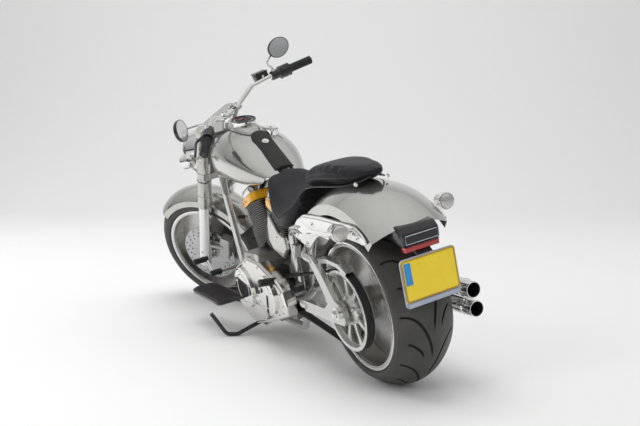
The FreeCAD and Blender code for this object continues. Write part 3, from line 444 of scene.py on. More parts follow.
class Shape:
    """Points and faces of one piece, each face with the number of its material."""

    def __init__(self):
        self.points = []
        self.faces = []
        self.kinds = []

    def face(self, kind, *spots):
        self.faces.append(spots)
        self.kinds.append(kind)

    def rings(self, rings, kind=0, looped=False, caps=True):
        """Faces between rings of points; a looped shape runs from the last ring to the first."""
        start = len(self.points)
        count = len(rings[0])
        last = len(rings) - 1
        for ring in rings:
            self.points.extend(ring)
        for row in range(last + 1 if looped else last):
            below = start + row * count
            above = start + (row + 1) % (last + 1) * count
            for spot in range(count):
                after = (spot + 1) % count
                self.face(kind, below + spot, below + after, above + after, above + spot)
        if caps and not looped:
            self.face(kind, *[start + spot for spot in reversed(range(count))])
            self.face(kind, *[start + last * count + spot for spot in range(count)])

    def turn(self, origin, axis, profile, sides=32, kind=0, looped=False):
        """A profile of (along, radius) turned round an axis."""
        axis = Vector(axis).normalized()
        side = axis.orthogonal().normalized()
        rings = []
        for along, radius in profile:
            middle = Vector(origin) + axis * along
            rings.append(circle(middle, side, axis.cross(side), max(radius, 0.001), sides))
        self.rings(rings, kind, looped)

    def pipe(self, path, radius, sides=10, kind=0, closed=False):
        """A round line along points."""
        path = [Vector(point) for point in path]
        normal = None
        rings = []
        for index, point in enumerate(path):
            tangent = (nearby(path, index + 1, closed) - nearby(path, index - 1, closed)).normalized()
            normal = normal or tangent.orthogonal()
            normal = (normal - tangent * normal.dot(tangent)).normalized()
            rings.append(circle(point, normal, tangent.cross(normal), radius, sides))
        self.rings(rings, kind, closed)

    def dome(self, origin, axis, radius, height, sides, kind):
        profile = [(height * math.sin(angle), radius * math.cos(angle)) for angle in quarter(6)]
        self.turn(origin, axis, profile, sides, kind)

    def bolt(self, point, axis, radius=6.0, height=5.0, kind=0, sides=6):
        """A washer and a chamfered head; many sides make it a round one."""
        self.turn(point, axis, [(-1.5, radius * 1.45), (1.0, radius * 1.45), (1.5, radius * 1.3)], 24, kind)
        self.turn(point, axis, [(0, radius), (height * 0.75, radius), (height, radius * 0.78)], sides, kind)

    def bolt_circle(self, centre, way, count, first, reach, *bolt):
        """Bolts round a crosswise axle, the first at an angle in degrees."""
        for degrees in steps(first, first + 360, count)[:-1]:
            self.bolt(Vector(centre) + spoke(degrees) * reach, way, *bolt)

    def dot(self, point, axis, radius, height=0.7, sides=6):
        """A low dark disc: painted shade that stands for a hole."""
        self.turn(point, axis, [(0, radius), (height, radius), (height, 0)], sides, 1)

    def plate(self, outline, low, high, edge, kind=0, point=plane(MIDDLE, X, Z, Y)):
        """An outline raised from one level to another with softened rims."""
        rings = []
        for level, inset in ((low, edge), (low + edge * 0.3, edge * 0.3), (low + edge, 0.0),
                             (high - edge, 0.0), (high - edge * 0.3, edge * 0.3), (high, edge)):
            rings.append([point(a, b, level) for a, b in shrunk(outline, inset)])
        self.rings(rings, kind)


def new_object(name, data):
    made = bpy.data.objects.new(name, data)
    bpy.context.collection.objects.link(made)
    return made


def declare(made, body, replaces):
    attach(made, body)
    if replaces:
        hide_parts(replaces)


def piece(name, body, shape, slot, *materials, replaces=None, angle=38, where=None):
    """Makes the piece, lays it on its carrier and says what it stands for."""
    mesh = bpy.data.meshes.new(name)
    mesh.from_pydata([tuple(point) for point in shape.points], [], shape.faces)
    mesh.polygons.foreach_set("material_index", shape.kinds)
    work = bmesh.new()
    work.from_mesh(mesh)
    bmesh.ops.remove_doubles(work, verts=work.verts, dist=0.00001 if where is WORLD else 0.01)
    bmesh.ops.recalc_face_normals(work, faces=work.faces)
    work.to_mesh(mesh)
    work.free()
    mesh.transform(where or CARRIERS[body])
    for material in materials:
        mesh.materials.append(M[material])
    mesh.shade_smooth()
    mesh.set_sharp_from_angle(angle=math.radians(angle))
    made = new_object(name, mesh)
    declare(made, body, replaces)
    return made


# Tyres: a smooth section with swept grooves cut along the mesh lines, their faces painted near-black as shade in
# the grooves

SWEEP = 0.56
GROOVE_DEPTH = 5.0
LANDS = 7
# Each groove: where its floor sinks in, where it rises out, and the span whose faces are painted near-black as
# shade.
MAIN_GROOVE = ((0.02, 0.07), (0.86, 0.96), (0.05, 0.94))
SIDE_GROOVE = ((0.30, 0.38), (0.72, 0.84), (0.33, 0.80))
UPPER_WALL = [(0.55, -4), (0.85, -9), (0.98, -13.5), (1.04, -15), (1.04, -16.5), (1.0, -18)]
LOWER_WALL = [(0.93, 12), (0.6, 7), (0.0, 3.5), (-0.75, 1.5)]


def tyre_section(half, bead, shoulder_share):
    """Columns of (share of the tread, left, radius) from the crown to the bead."""
    shoulder = half * 0.93
    rise = (TYRE_RADIUS - RIM_LIP) * (1 - shoulder_share)
    columns = []
    for step in steps(0, 1, 24):
        share = step ** 1.15
        columns.append((share, shoulder * share, TYRE_RADIUS - rise * share * share))
    for wall, level in ((UPPER_WALL, TYRE_RADIUS - rise), (LOWER_WALL, RIM_LIP)):
        columns += [(1.0, shoulder + (half - shoulder) * bulge, level + up) for bulge, up in wall]
    return columns + [(1.0, bead, RIM_LIP - 3), (1.0, bead - 1, RIM_LIP - 14)], shoulder


def tyre_rows(side, pitches):
    """Rows across one side: angle, share of half a groove, in a groove, on its floor, and the groove's reach."""
    rows = []
    half_pitch = math.pi / pitches
    for index in range(2 * pitches):
        groove = MAIN_GROOVE if index % 2 == (side < 0) else SIDE_GROOVE
        for edge in (-1.0, -0.62, 0.62, 1.0):
            rows.append((index * half_pitch, edge, edge < 1, abs(edge) < 1, groove))
        for land in range(1, LANDS):
            share = land / LANDS
            rows.append(((index + share) * half_pitch, 1 - 2 * share, False, False, groove))
    return rows


def tyre(name, node, body, centre, half, bead, shoulder_share, pitches, groove_width):
    columns, shoulder = tyre_section(half, bead, shoulder_share)
    width = len(columns)
    shape = Shape()
    for side in SIDES:
        rows = tyre_rows(side, pitches)
        start = len(shape.points)
        for row, (base, edge, in_groove, on_floor, (begin, end, dark)) in enumerate(rows):
            here = start + row * width
            after = start + (row + 1) % len(rows) * width
            for spot, (share, left, radius) in enumerate(columns):
                slope = TYRE_RADIUS * SWEEP * 3 * (1 - share) ** 2 / shoulder
                wide = 0.5 * groove_width * math.sqrt(1 + slope * slope) / TYRE_RADIUS
                turn = base + SWEEP * (1 - (1 - share) ** 3) + edge * wide
                if on_floor:
                    radius -= GROOVE_DEPTH * ease(share, *begin) * (1 - ease(share, *end))
                place = Vector((radius * math.sin(turn), left * side, radius * math.cos(turn)))
                shape.points.append(centre + place)
                if spot:
                    # Groove faces within that span get the near-black rubber: painted shade in the groove.
                    kind = 1 if in_groove and dark[0] < share < dark[1] else 0
                    shape.face(kind, here + spot - 1, here + spot, after + spot, after + spot - 1)
    piece(name, body, shape, "tyre", "tyre", "groove", replaces=node, angle=50)


def tyres():
    tyre("rear_tread", "rear_tyre", "rear_wheel", MIDDLE, 120.0, 105.7, 0.39, 9, 9.5)
    tyre("front_tread", "front_tyre", "front_wheel", FRONT_AXLE, 80.0, 65.2, 0.46, 11, 6.5)


# Seats

PILLION = [(-108, 34, 28, 50), (-60, 66, 12, 58), (10, 88, 0, 64), (100, 102, -8, 66),
           (200, 104, -16, 60), (300, 94, -36, 38), (338, 70, -30, 16)]
PAN_EDGE = [(300, 93, -34), (200, 99, -17), (100, 97, -8), (0, 82, -2), (-60, 58, 8), (-104, 22, 24)]
CLOTH = {"use_pressure": True, "uniform_pressure_force": 4.0, "quality": 4, "tension_stiffness": 20.0,
         "compression_stiffness": 20.0, "bending_stiffness": 1.0}
CLOTH_FRAMES = 20
VOXEL = 0.006
SHRINK = 0.0035
PIPING_RADIUS = 0.0022
PIPING_STEP = 0.006
PIPING_LEAST = 0.2


def baked(made):
    graph = bpy.context.evaluated_depsgraph_get()
    mesh = bpy.data.meshes.new_from_object(made.evaluated_get(graph))
    made.modifiers.clear()
    made.data = mesh


def modified(made, kind, **settings):
    """Applies a modifier with its settings."""
    modifier = made.modifiers.new("change", kind)
    for key, value in settings.items():
        setattr(modifier, key, value)
    baked(made)


def read(mesh, what):
    """A mesh's points or normals as rows of numbers."""
    values = numpy.empty(len(mesh.vertices) * 3)
    source = mesh.vertices if what == "co" else mesh.vertex_normals
    source.foreach_get("co" if what == "co" else "vector", values)
    return values.reshape(-1, 3)


def write(mesh, points):
    mesh.vertices.foreach_set("co", points.ravel())
    mesh.update()


def contours(mesh, field):
    """Closed lines on a mesh where the field crosses zero, in metres."""
    mesh.calc_loop_triangles()
    values = [field(vertex.co) for vertex in mesh.vertices]
    links = {}
    for triangle in mesh.loop_triangles:
        a, b, c = triangle.vertices
        cut = [(min(p, q), max(p, q)) for p, q in ((a, b), (b, c), (c, a))
               if (values[p] > 0) != (values[q] > 0)]
        if len(cut) == 2:
            links.setdefault(cut[0], []).append(cut[1])
            links.setdefault(cut[1], []).append(cut[0])
    lines = []
    seen = set()
    for first in links:
        line = []
        onward = [first] if first not in seen else []
        while onward:
            p, q = onward[0]
            point = mesh.vertices[p].co.lerp(mesh.vertices[q].co, values[p] / (values[p] - values[q]))
            if not line or (point - line[-1]).length > PIPING_STEP:
                line.append(point)
            seen.add((p, q))
            onward = [key for key in links[(p, q)] if key not in seen]
        for _ in range(3):
            line = [(before + here * 2 + after) / 4 for before, here, after in corners(line)]
        if sum((here - before).length for before, here in zip(line, line[1:])) > PIPING_LEAST:
            lines.append(line)
    return lines


def inflated(made, cap):
    """Filled by the cloth solver, with no point moved further than the cap."""
    before = read(made.data, "co")
    cloth = made.modifiers.new("cloth", "CLOTH")
    for key, value in CLOTH.items():
        setattr(cloth.settings, key, value)
    cloth.settings.effector_weights.gravity = 0.0
    cloth.point_cache.frame_start = 1
    cloth.point_cache.frame_end = CLOTH_FRAMES
    for step in range(1, CLOTH_FRAMES + 1):
        bpy.context.scene.frame_set(step)
    baked(made)
    bpy.context.scene.frame_set(1)
    shift = read(made.data, "co") - before
    reach = numpy.maximum(numpy.linalg.norm(shift, axis=1), 1e-9)
    shift *= (numpy.minimum(reach, cap) / reach)[:, None]
    write(made.data, before + shift)
    modified(made, "SMOOTH", factor=0.5, iterations=2)


def cushion(name, node, base, field, wide, deep, cap):
    """A form filled like a cushion, with a sewn channel and piping along the field's zero line."""
    made = new_object(name, base)
    modified(made, "REMESH", mode="VOXEL", voxel_size=VOXEL)
    modified(made, "SMOOTH", factor=0.5, iterations=6)
    write(made.data, read(made.data, "co") - read(made.data, "normal") * SHRINK)
    inflated(made, cap)
    modified(made, "SUBSURF", levels=1)
    mesh = made.data
    back = UPRIGHT.inverted()
    points = read(mesh, "co")
    distance = numpy.array([field(back @ Vector(point)) for point in points])
    sunk = deep * numpy.exp(-((distance / wide) ** 2))
    write(mesh, points - read(mesh, "normal") * (sunk * 0.001)[:, None])
    mesh.materials.clear()
    mesh.materials.append(M["leather"])
    mesh.polygons.foreach_set("material_index", [0] * len(mesh.polygons))
    mesh.shade_smooth()
    declare(made, "chassis", node)
    piping = Shape()
    for line in contours(mesh, lambda point: field(back @ point)):
        piping.pipe(line, PIPING_RADIUS, 8, closed=True)
    piece(name + "_piping", "chassis", piping, "leather", "leather", where=WORLD)


def pillion_base():
    """The pillion pad's form, lofted from its table."""
    rings = []
    for x in steps(-108, 338, 44):
        half, low, high = (smooth_lookup(PILLION, x, column) for column in (1, 2, 3))
        ring = []
        for angle in steps(0, 2 * math.pi, 40)[:-1]:
            turned = (math.cos(angle), math.sin(angle))
            across, up = (math.copysign(abs(part) ** 0.62, part) for part in turned)
            ring.append((x, half * across, CREST + (low + high) / 2 + (high - low) / 2 * up))
        rings.append(ring)
    shape = Shape()
    shape.rings(rings)
    base = bpy.data.meshes.new("pillion_base")
    base.from_pydata(shape.points, [], shape.faces)
    base.transform(UPRIGHT)
    return base


def seats():
    places, _, lows, highs = zip(*PILLION)

    def rider_side(point):
        return point.z - (283 + 0.56 * math.hypot(point.x - 452, 34))

    def pillion_side(point):
        low = numpy.interp(point.x, places, lows)
        high = numpy.interp(point.x, places, highs)
        return point.z - CREST - low - (high - low) * 0.52

    cushion("rider_cushion", "rider_seat", NODES["rider_seat"].data.copy(), rider_side, 5.0, 2.6, 0.009)
    cushion("pillion_cushion", "pillion_seat", pillion_base(), pillion_side, 4.0, 2.0, 0.007)
    pan = Shape()
    for side in SIDES:
        pan.pipe(smooth_path([(x, y * side, CREST + z) for x, y, z in PAN_EDGE]), 3.5, 8)
        pan.bolt((-70, 66 * side, CREST + 6), (-0.3, side, 0.1), 6, 6, 1, 16)
    piece("pillion_pan_edge", "chassis", pan, "black_metal", "black_metal", "chrome")


# Tank strap

STRAP = [(690, 44, 461), (750, 43, 501), (850, 42, 567), (880, 42, 588), (905, 34, 604)]
SEAM = 0.80
BUTTON = [(0, 16), (3.0, 16), (4.2, 14.6), (4.2, 12.5), (3.0, 9.5), (2.6, 7.0), (3.6, 6.2), (4.6, 4.0),
          (5.0, 0.0)]
STITCH = ((0, -0.3), (2.4, 0.3), (5, -0.3))


def strap_point(x, share, lift):
    """A place on the strap's face; share runs from -1 to 1 across it."""
    half = smooth_lookup(STRAP, x, 1)
    before, top, after = (smooth_lookup(STRAP, place, 2) for place in (x - 1, x, x + 1))
    normal = Vector(((before - after) / 2, 0, 1)).normalized()
    return Vector((x, half * share, top - 10.0 * abs(share) ** 2.4)) + normal * lift


def tank_strap():
    shape = Shape()
    rings = []
    for x in steps(688, 907, 40):
        ring = []
        for share in steps(-1, 1, 14):
            seam = 1.6 * math.exp(-((abs(share) - SEAM) / 0.05) ** 2)
            ring.append(strap_point(x, share, -seam - 1.5 * ease(abs(share), 0.94, 1.0)))
        rings.append(ring + [strap_point(x, share, -14.0) for share in steps(1, -1, 14)])
    shape.rings(rings)
    for x in steps(694, 896.8, 26):
        for share in (-SEAM, SEAM):
            shape.pipe([strap_point(x + ahead, share, lift) for ahead, lift in STITCH], 0.8, 6, 1)
    spot = strap_point(838, 0, 0)
    normal = (strap_point(838, 0, 1) - spot).normalized()
    side = normal.orthogonal().normalized()
    shape.turn(spot - normal, normal, BUTTON, 40, 2)
    for bead in circle(spot + normal * 2.8, side, normal.cross(side), 13.6, 20):
        shape.dome(bead, normal, 1.2, 1.2, 8, 2)
    piece("strap_leather", "chassis", shape, "leather", "strap", "thread", "chrome", replaces="tank_strap")


# Instrument, filler cap and console

DIAL = Vector((1045, 0, 650.5))
DIAL_RING = [(-8, 57.6), (-1, 58.2), (1.4, 57.8), (1.8, 56.8), (-8, 54.2)]
DIAL_SEAL = [(1.0, 57.2), (3.0, 56.6), (4.6, 54.0), (4.2, 51.0), (1.0, 50.0), (-0.5, 50.0), (-0.5, 54.0)]
FILLER_CAP = Vector((919.5, -70.5, 604.5))
CAP_PROFILE = [(-14, 34.6), (-4, 34.8), (-1.5, 34.2), (0.6, 31.5), (1.6, 27.5), (1.0, 24.5), (1.4, 12),
               (1.6, 0.01)]
CONSOLE_RIM = [(0.437, 22), (0.46, 37), (0.50, 51), (0.537, 57.5), (0.60, 62), (0.66, 63.5), (0.71, 60),
               (0.745, 53)]


def tank_x(share):
    return 630 + 651.6 * share


def instrument():
    axis = Vector((-9, 0, 44)).normalized()
    side = -Y
    ahead = side.cross(axis)
    shape = Shape()

    def bar(degrees, start, end, wide, tip, low, high, kind):
        """A raised bar on the dial, along a way out from its middle."""
        angle = math.radians(degrees)
        way = side * math.sin(angle) + ahead * math.cos(angle)
        point = plane(DIAL, way, way.cross(axis), axis)
        outline = ((start, -wide), (end, -tip), (end, tip), (start, wide))
        shape.rings([[point(a, b, level) for a, b in outline] for level in (low, high)], kind)

    shape.turn(DIAL, axis, DIAL_RING, 64, 0, looped=True)
    shape.turn(DIAL, axis, DIAL_SEAL, 64, 4, looped=True)
    shape.turn(DIAL, axis, [(0.1, 50.4), (0.5, 50.2), (0.5, 0.0)], 64, 1)
    for index, degrees in enumerate(steps(-135, 135, 48)):
        long, wide = (4.0, 0.45) if index % 4 else (7.5, 0.9)
        bar(degrees, 45 - long, 45, wide, wide, 0.4, 0.9, 2)
    bar(-133, -9, 39, 1.6, 0.5, 1.6, 2.3, 3)
    bar(180, 16, 27, 11, 11, 0.4, 0.9, 4)
    shape.turn(DIAL, axis, [(0.4, 6.0), (2.6, 6.0), (3.4, 4.6), (3.4, 0.0)], 32, 1)
    piece("instrument_face", "chassis", shape, "chrome", "chrome", "dial", "mark", "needle", "black_metal")


def filler_cap():
    axis = Vector((-7, -10, 46)).normalized()
    side = axis.orthogonal().normalized()
    shape = Shape()
    rings = []
    for along, radius in CAP_PROFILE:
        knurl = 0.9 if radius > 34 else 0.0
        low, high = (circle(FILLER_CAP + axis * along, side, axis.cross(side), reach, 96)
                     for reach in (radius, radius + knurl))
        rings.append([high[index] if index % 4 < 2 else low[index] for index in range(96)])
    shape.rings(rings)
    shape.dome(FILLER_CAP + axis * 1.3, axis, 7.5, 1.6, 24, 1)
    piece("filler_cap_rim", "chassis", shape, "chrome", "chrome", "black_metal")


def console_trim():
    shape = Shape()
    for side in SIDES:
        path = []
        for share, half in CONSOLE_RIM:
            x = tank_x(share)
            path.append((x, side * half, tank_height(x, side * (half + 1.5)) + 1.0))
        shape.pipe(smooth_path(path), 1.7, 8)
    piece("console_edge_trim", "chassis", shape, "rubber", "rubber")


# Lamps

BULLET_RING = [(0.1, 1), (0.12, 1.03), (0.18, 1.07), (0.215, 1.05), (0.225, 0.97), (0.2, 0.92), (0.17, 0.92)]
SIGNALS = (
    ("rear_signal_lamps", "chassis", "rear_signals", 30, 76, -X, (-170, 217, 329), (-168, 168, 320)),
    ("front_signal_lamps", "fork", "front_signals", 33, 74, X, (1378.5, 205, 567), (1350, 150, 549)))
LAMP_BACK = 73.0
LAMP_RADIUS = 98.0
LAMP_FULL = LAMP_BACK + LAMP_RADIUS * 0.75
LAMP_FRONT = LAMP_FULL + LAMP_RADIUS * 0.72
LAMP_RIM = [(-14, 0), (-12, 3), (-6, 5), (-1, 3.5), (1, -1), (-1, -6), (-6, -7)]


def bullet(shape, centre, radius, length, way, foot):
    """Signal lamp: stalk, bullet shell with a drawn-in back, chromed ring and domed lens."""
    shell = [(-0.22 - 0.33 * math.cos(angle), math.sin(angle) ** 0.8) for angle in quarter(8)] + BULLET_RING
    glass = [(0.17, 0.93)]
    glass += [(0.2 + 0.135 * math.sin(angle), 0.93 * math.cos(angle) ** 0.8) for angle in quarter(7)]
    for kind, profile in enumerate((shell, glass)):
        shape.turn(centre, way, [(along * length, reach * radius) for along, reach in profile], 40, kind)
    shape.pipe([foot, centre], 7.5, 16)
    shape.turn(foot, centre - foot, [(-1, 13), (3, 13), (6, 10), (7, 7.5)], 24)


def signals():
    for name, body, node, radius, length, way, centre, foot in SIGNALS:
        shape = Shape()
        for side in SIDES:
            bullet(shape, flipped(centre, side), radius, length, way, flipped(foot, side))
        piece(name, body, shape, "chrome", "chrome", "clear_lens", replaces=node)


def headlamp():
    shell = Shape()
    profile = [(LAMP_BACK, 0.0)]
    for angle in quarter(14)[1:]:
        profile.append((LAMP_BACK + (LAMP_FULL - LAMP_BACK) * (1 - math.cos(angle)),
                        LAMP_RADIUS * math.sin(angle) ** 0.75))
    profile += [(LAMP_FRONT + along, LAMP_RADIUS + reach) for along, reach in LAMP_RIM]
    for share in steps(0, 1, 9)[1:]:
        profile.append((LAMP_FRONT - 6 - 70 * share ** 1.9, (LAMP_RADIUS - 7) * (1 - share) ** 0.62 + 0.01))
    shell.turn(LAMP, X, profile, 72)
    shell.dome(LAMP + X * (LAMP_FRONT - 72), X, 11, 26, 20, 1)
    shell.bolt(LAMP + X * (LAMP_FRONT - 8) - Z * (LAMP_RADIUS + 3), -Z, 4, 4)
    piece("headlamp_shell", "fork", shell, "chrome", "chrome", "black_metal", replaces="headlamp")
    glass = Shape()
    profile = [(LAMP_FRONT - 3, LAMP_RADIUS - 6)]
    for angle in quarter(9):
        profile.append((LAMP_FRONT - 1 + 15 * math.sin(angle), (LAMP_RADIUS - 6) * math.cos(angle)))
    glass.turn(LAMP, X, profile, 72)
    piece("headlamp_glass", "fork", glass, "chrome", "clear_lens")


# Tail lamp and licence plate

TAIL = Vector((-316.1, 0, 316.1))
STRIP = TAIL + Vector((-11, 0, -69))
TAIL_HOUSING = [(70, 16), (-6, 6), (-29, -16), (-26, -58), (16, -58), (54, -36)]
PLATE_ARM = [(-42, -228), (-36, -228), (-36, -108), (16, -80), (16, -54), (4, -54), (4, -66), (-42, -94)]


def tail():
    shape = Shape()
    shape.plate(rounded(moved(TAIL_HOUSING, TAIL.x, TAIL.z), 9), -72, 72, 6.0)
    wire = ((4, -68, 10.5), (-14.5, -67, 10.8), (-14.5, 67, 10.8), (4, 68, 10.5))
    shape.pipe([STRIP + Vector(spot) for spot in wire], 1.5, 8)
    frame_line = [TAIL + Vector((-27.6, y, z)) for y, z in ((-62, -22), (62, -22), (62, -50), (-62, -50))]
    shape.pipe([corner - X * 0.8 for corner in frame_line], 1.7, 8, 1, closed=True)
    shape.rings([[corner + X * depth for corner in frame_line] for depth in (-1.4, 2.0)])
    piece("tail_housing", "chassis", shape, "black_metal", "black_metal", "carrier", replaces="tail_lamp")
    shape = Shape()
    shape.plate(moved(PLATE_ARM, TAIL.x, TAIL.z), -30, 30, 1.5)
    piece("plate_arm", "chassis", shape, "black_metal", "black_metal", replaces="plate_bracket")
    shape = Shape()
    shape.plate(moved(round_rect(14.5, 10, 4.5), STRIP.x, STRIP.z), -67, 67, 3.0)
    for y in steps(-61, 61, 23):
        shape.pipe([STRIP + Vector((-14.4, y, z)) for z in (-6.5, 6.5)], 0.9, 6)
    piece("tail_lens", "chassis", shape, "lamp_red", "red_lens", replaces="tail_lamp")


def plate():
    """Pressed rim, blank band and two screws on the plate, and the grey carrier behind it."""
    low, high = span("licence_plate", UPRIGHT)
    rear_face = plane(Vector((low.x, (low.y + high.y) / 2, (low.z + high.z) / 2)), Y, Z, -X)

    def bands(shape, outlines, **ends):
        shape.rings([[rear_face(a, b, level) for a, b in outline] for outline, level in outlines], **ends)

    shape = Shape()
    outer = round_rect(105, 71.5, 8)
    inner = round_rect(101, 67.5, 6)
    sunk = shrunk(inner, 0.8)
    edge = shrunk(outer, 1.0)
    profile = ((outer, -2.2), (outer, 1.0), (edge, 1.8), (inner, 1.8), (sunk, 0.3), (sunk, -0.4))
    bands(shape, profile, caps=False)
    shape.plate(moved(round_rect(13, 38, 4), 84, 24), 0.0, 0.9, 0.3, 1, rear_face)
    for a in (-40, 40):
        shape.turn(rear_face(a, 46, 0), -X, [(0, 5), (1.6, 5), (2.4, 3.4), (2.4, 0.0)], 20, 2)
    piece("plate_rim", "chassis", shape, "plate_yellow", "plate_rim", "band", "plate")
    shape = Shape()
    carrier = moved(round_rect(109, 84, 14), 0, -8.5)
    window = round_rect(96, 62, 6)
    edge = shrunk(carrier, 2.5)
    profile = ((window, -2.4), (carrier, -2.4), (carrier, -7.5), (edge, -9.5), (window, -9.5))
    bands(shape, profile, looped=True)
    shape.plate(moved(round_rect(100, 7.0, 4.5), 0, -82), -3.0, 2.2, 1.2, 0, rear_face)
    piece("plate_carrier", "chassis", shape, "black_metal", "carrier")


# Engine

HUB = Vector((CRANK, 0, -34.5))
CYLINDER_TILT = math.radians(22.5)
FIN_THICK = 0.0012
PRIMARY = [(965, 192), (968, 290), (931, 363), (790, 426), (649, 421), (495, 368), (440, 330), (425, 270),
           (440, 225), (498, 204), (680, 150), (804, 121), (864, 136)]
PRIMARY_FACE = 224.6
INSPECTION_LID = Vector((722, 224, -80))
CHAIN_PLUG = Vector((540, PRIMARY_FACE, -104))
ROUND_COVERS = ((590, -32.5, 68, 236), (850, -44.5, 76, 234))
CAM_COVER = Vector((870, -165, -39.5))
TIMER_COVER = Vector((CRANK + 10, -164.5, -40))
AIR_CLEANER = Vector((CRANK, -204.5, 235))
AIR_FACE = [(0, 84), (3.6, 83), (4.6, 80), (2.0, 76), (1.4, 40), (3.0, 36), (3.0, 0)]
AIR_RING = [(0, 90), (3, 90), (5.0, 87), (4.6, 84), (2.6, 83), (0, 84)]
ROCKER_BOX = [(340.2, 1.5), (341.5, 0), (372, 0), (374, 2.5), (377, 2.5), (379.8, 3.4)]
ROCKER_LID = [(380, 0.5), (381.2, -1.0), (387, -1.0), (388.5, 2.0), (404, 3.0), (411, 5.5), (416, 10),
              (418.6, 17), (419.6, 26)]


def cylinders():
    """For each cylinder its sign, the way along across its bore, the bore's way and its map of places."""
    for sign in SIDES:
        tilt = CYLINDER_TILT * sign
        along = Vector((math.cos(tilt), 0, -math.sin(tilt)))
        bore = Vector((math.sin(tilt), 0, math.cos(tilt)))
        yield sign, along, bore, plane(HUB, along, Y, bore)


def fin_edges():
    """Bright machined edges on the black fins."""
    shape = Shape()
    for sign, _, _, place in cylinders():
        for level in steps(150, 330.5, 19):
            wide = 82.3 if level < 245 else 78.3
            dense = []
            for _, here, after in corners(cut_corners(wide, wide + 4, 28)):
                dense += [here.lerp(after, share) for share in steps(0, 1, 4)[:-1]]
            for _, here, after in corners(dense):
                quad = [place(*here, level + 0.3), place(*after, level + 0.3),
                        place(*after, level + 2.9), place(*here, level + 2.9)]
                if min((point.x - CRANK) * sign for point in quad) >= 1.0:
                    shape.face(0, *range(len(shape.points), len(shape.points) + 4))
                    shape.points += quad
    edges = piece("fin_edges", "chassis", shape, "engine_black", "fin")
    modified(edges, "SOLIDIFY", thickness=FIN_THICK, offset=0.0)


def engine_bolts():
    shape = Shape()
    for a, b in shrunk(PRIMARY, 19):
        spot = Vector((a, PRIMARY_FACE, b - TYRE_RADIUS))
        shape.bolt(spot, Y, 5.0, 4, 0, 24)
        # A dark dot on each bolt head: painted shade for the socket in it.
        shape.dot(spot + Y * 3.8, Y, 2.6)
    for x, z, radius, face in ROUND_COVERS:
        shape.bolt_circle((x, face, z), Y, 5, 18, radius, 4.8, 3.5, 0, 24)
        shape.turn((x, face - 3, z), Y, [(0, radius + 16.2), (2.0, radius + 16.4), (3.4, radius + 14.5),
                                         (3.8, radius + 10)], 72)
        shape.turn((x, face - 0.5, z), Y, [(0, radius - 12), (1.6, radius - 12), (2.4, radius - 13.4),
                                           (1.2, radius - 15.5), (1.0, 0)], 64)
    lid = plane(INSPECTION_LID, X, Z, Y)
    shape.plate(round_rect(38, 22, 9), 0, 4.5, 2.0, 0, lid)
    for a in (-30, 30):
        shape.bolt(lid(a, 0, 4.4), Y, 3.6, 2.6, 0, 24)
    shape.bolt(CHAIN_PLUG, Y, 8.5, 7)
    shape.bolt_circle(CAM_COVER, -Y, 8, 10, 106, 4.6, 4, 0, 24)
    shape.turn(TIMER_COVER, -Y, [(0, 46), (3.5, 46), (5, 44), (5, 38), (4, 36), (4, 0)], 56)
    shape.bolt_circle(TIMER_COVER - Y * 4.5, -Y, 5, 90, 41, 3, 2.4)
    shape.turn(AIR_CLEANER, -Y, AIR_FACE, 72, 2)
    shape.turn(AIR_CLEANER, -Y, AIR_RING, 72, 0, looped=True)
    shape.bolt(AIR_CLEANER - Y * 2.5, -Y, 10, 6)
    piece("engine_bolts", "chassis", shape, "chrome", "chrome", "black_metal", "black_engine")


def rockers():
    for name, slot, key, node, wide, deep, levels in (
            ("rocker_boxes", "yellow_paint", "yellow", "rocker_bases", 80, 88, ROCKER_BOX),
            ("rocker_lids", "chrome", "chrome", "rocker_covers", 74, 82, ROCKER_LID)):
        shape = Shape()
        outline = rounded(cut_corners(wide, deep, 24), 14)
        for _, _, _, place in cylinders():
            shape.rings([[place(a, b, level) for a, b in shrunk(outline, inset)] for level, inset in levels])
        piece(name, "chassis", shape, slot, key, replaces=node)
    shape = Shape()
    for sign, along, bore, place in cylinders():
        for side in SIDES:
            for a, b in ((52, 56), (-52, 56), (0, 60)):
                shape.bolt(place(a, b * side, 416.5), bore, 5.0, 5)
            for a in (50, 14):
                shape.bolt(place(a * sign, 88.5 * side, 360), Y * side, 4.6, 4, 1)
        plug = place(52 * sign, 86, 300)
        way = (Y * 0.9 + bore * 0.25 + along * sign * 0.2).normalized()
        shape.turn(plug, way, [(0, 9), (5, 9), (6, 7), (14, 7)], 6, 2)
        shape.turn(plug + way * 12, way, [(0, 8), (3, 10), (20, 9), (34, 8), (36, 5)], 20, 3)
    piece("rocker_bolts", "chassis", shape, "chrome", "chrome", "yellow", "steel", "rubber")


def pushrods():
    shape = Shape()
    for sign, _, _, place in cylinders():
        for ahead in (-26, 26):
            foot = Vector((CRANK + sign * 40 + ahead * 0.6, -112, 70))
            tube = place(ahead, -100, 338) - Z * 0.5 - foot
            for share, back, profile in ((0, 0, [(4, 12.5), (10, 12.5), (12, 11), (26, 11), (28, 9.4)]),
                                         (0.55, 0, [(0, 9.4), (2, 11), (16, 11), (18, 9.4)]),
                                         (1, 26, [(0, 9.4), (2, 12), (12, 12), (14, 9.4)])):
                shape.turn(foot + tube * share - tube.normalized() * back, tube, profile, 24)
    piece("pushrod_collars", "chassis", shape, "chrome", "chrome")


# Exhaust

MUFFLERS = [Vector((0, -230, 4.5)), Vector((0, -230, -67.5))]
MUFFLER_END = -190.0
MUFFLER_TIP = [(0, 30.3), (-1.6, 29.2), (-1.6, 27.4), (0, 26.8), (56, 26.6), (56, 30.2)]
# A black tube and end disc inside each tip: painted shade for the dark inside of the pipe.
MUFFLER_SHADE_LINER = [(0, 26.9), (0, 26.3), (118, 26.3), (118, 0.0), (119, 0.0), (119, 26.9)]
MUFFLER_RING = [(-3, 30.0), (0, 33.6), (4, 34.2), (8, 33.2), (8, 30.0)]
CLAMPS = ((436, 8, 26.5, 28), (372, 8, 34, 35.4), (300, 7, 33.2, 34.6), (80, 7, 33.2, 34.6))


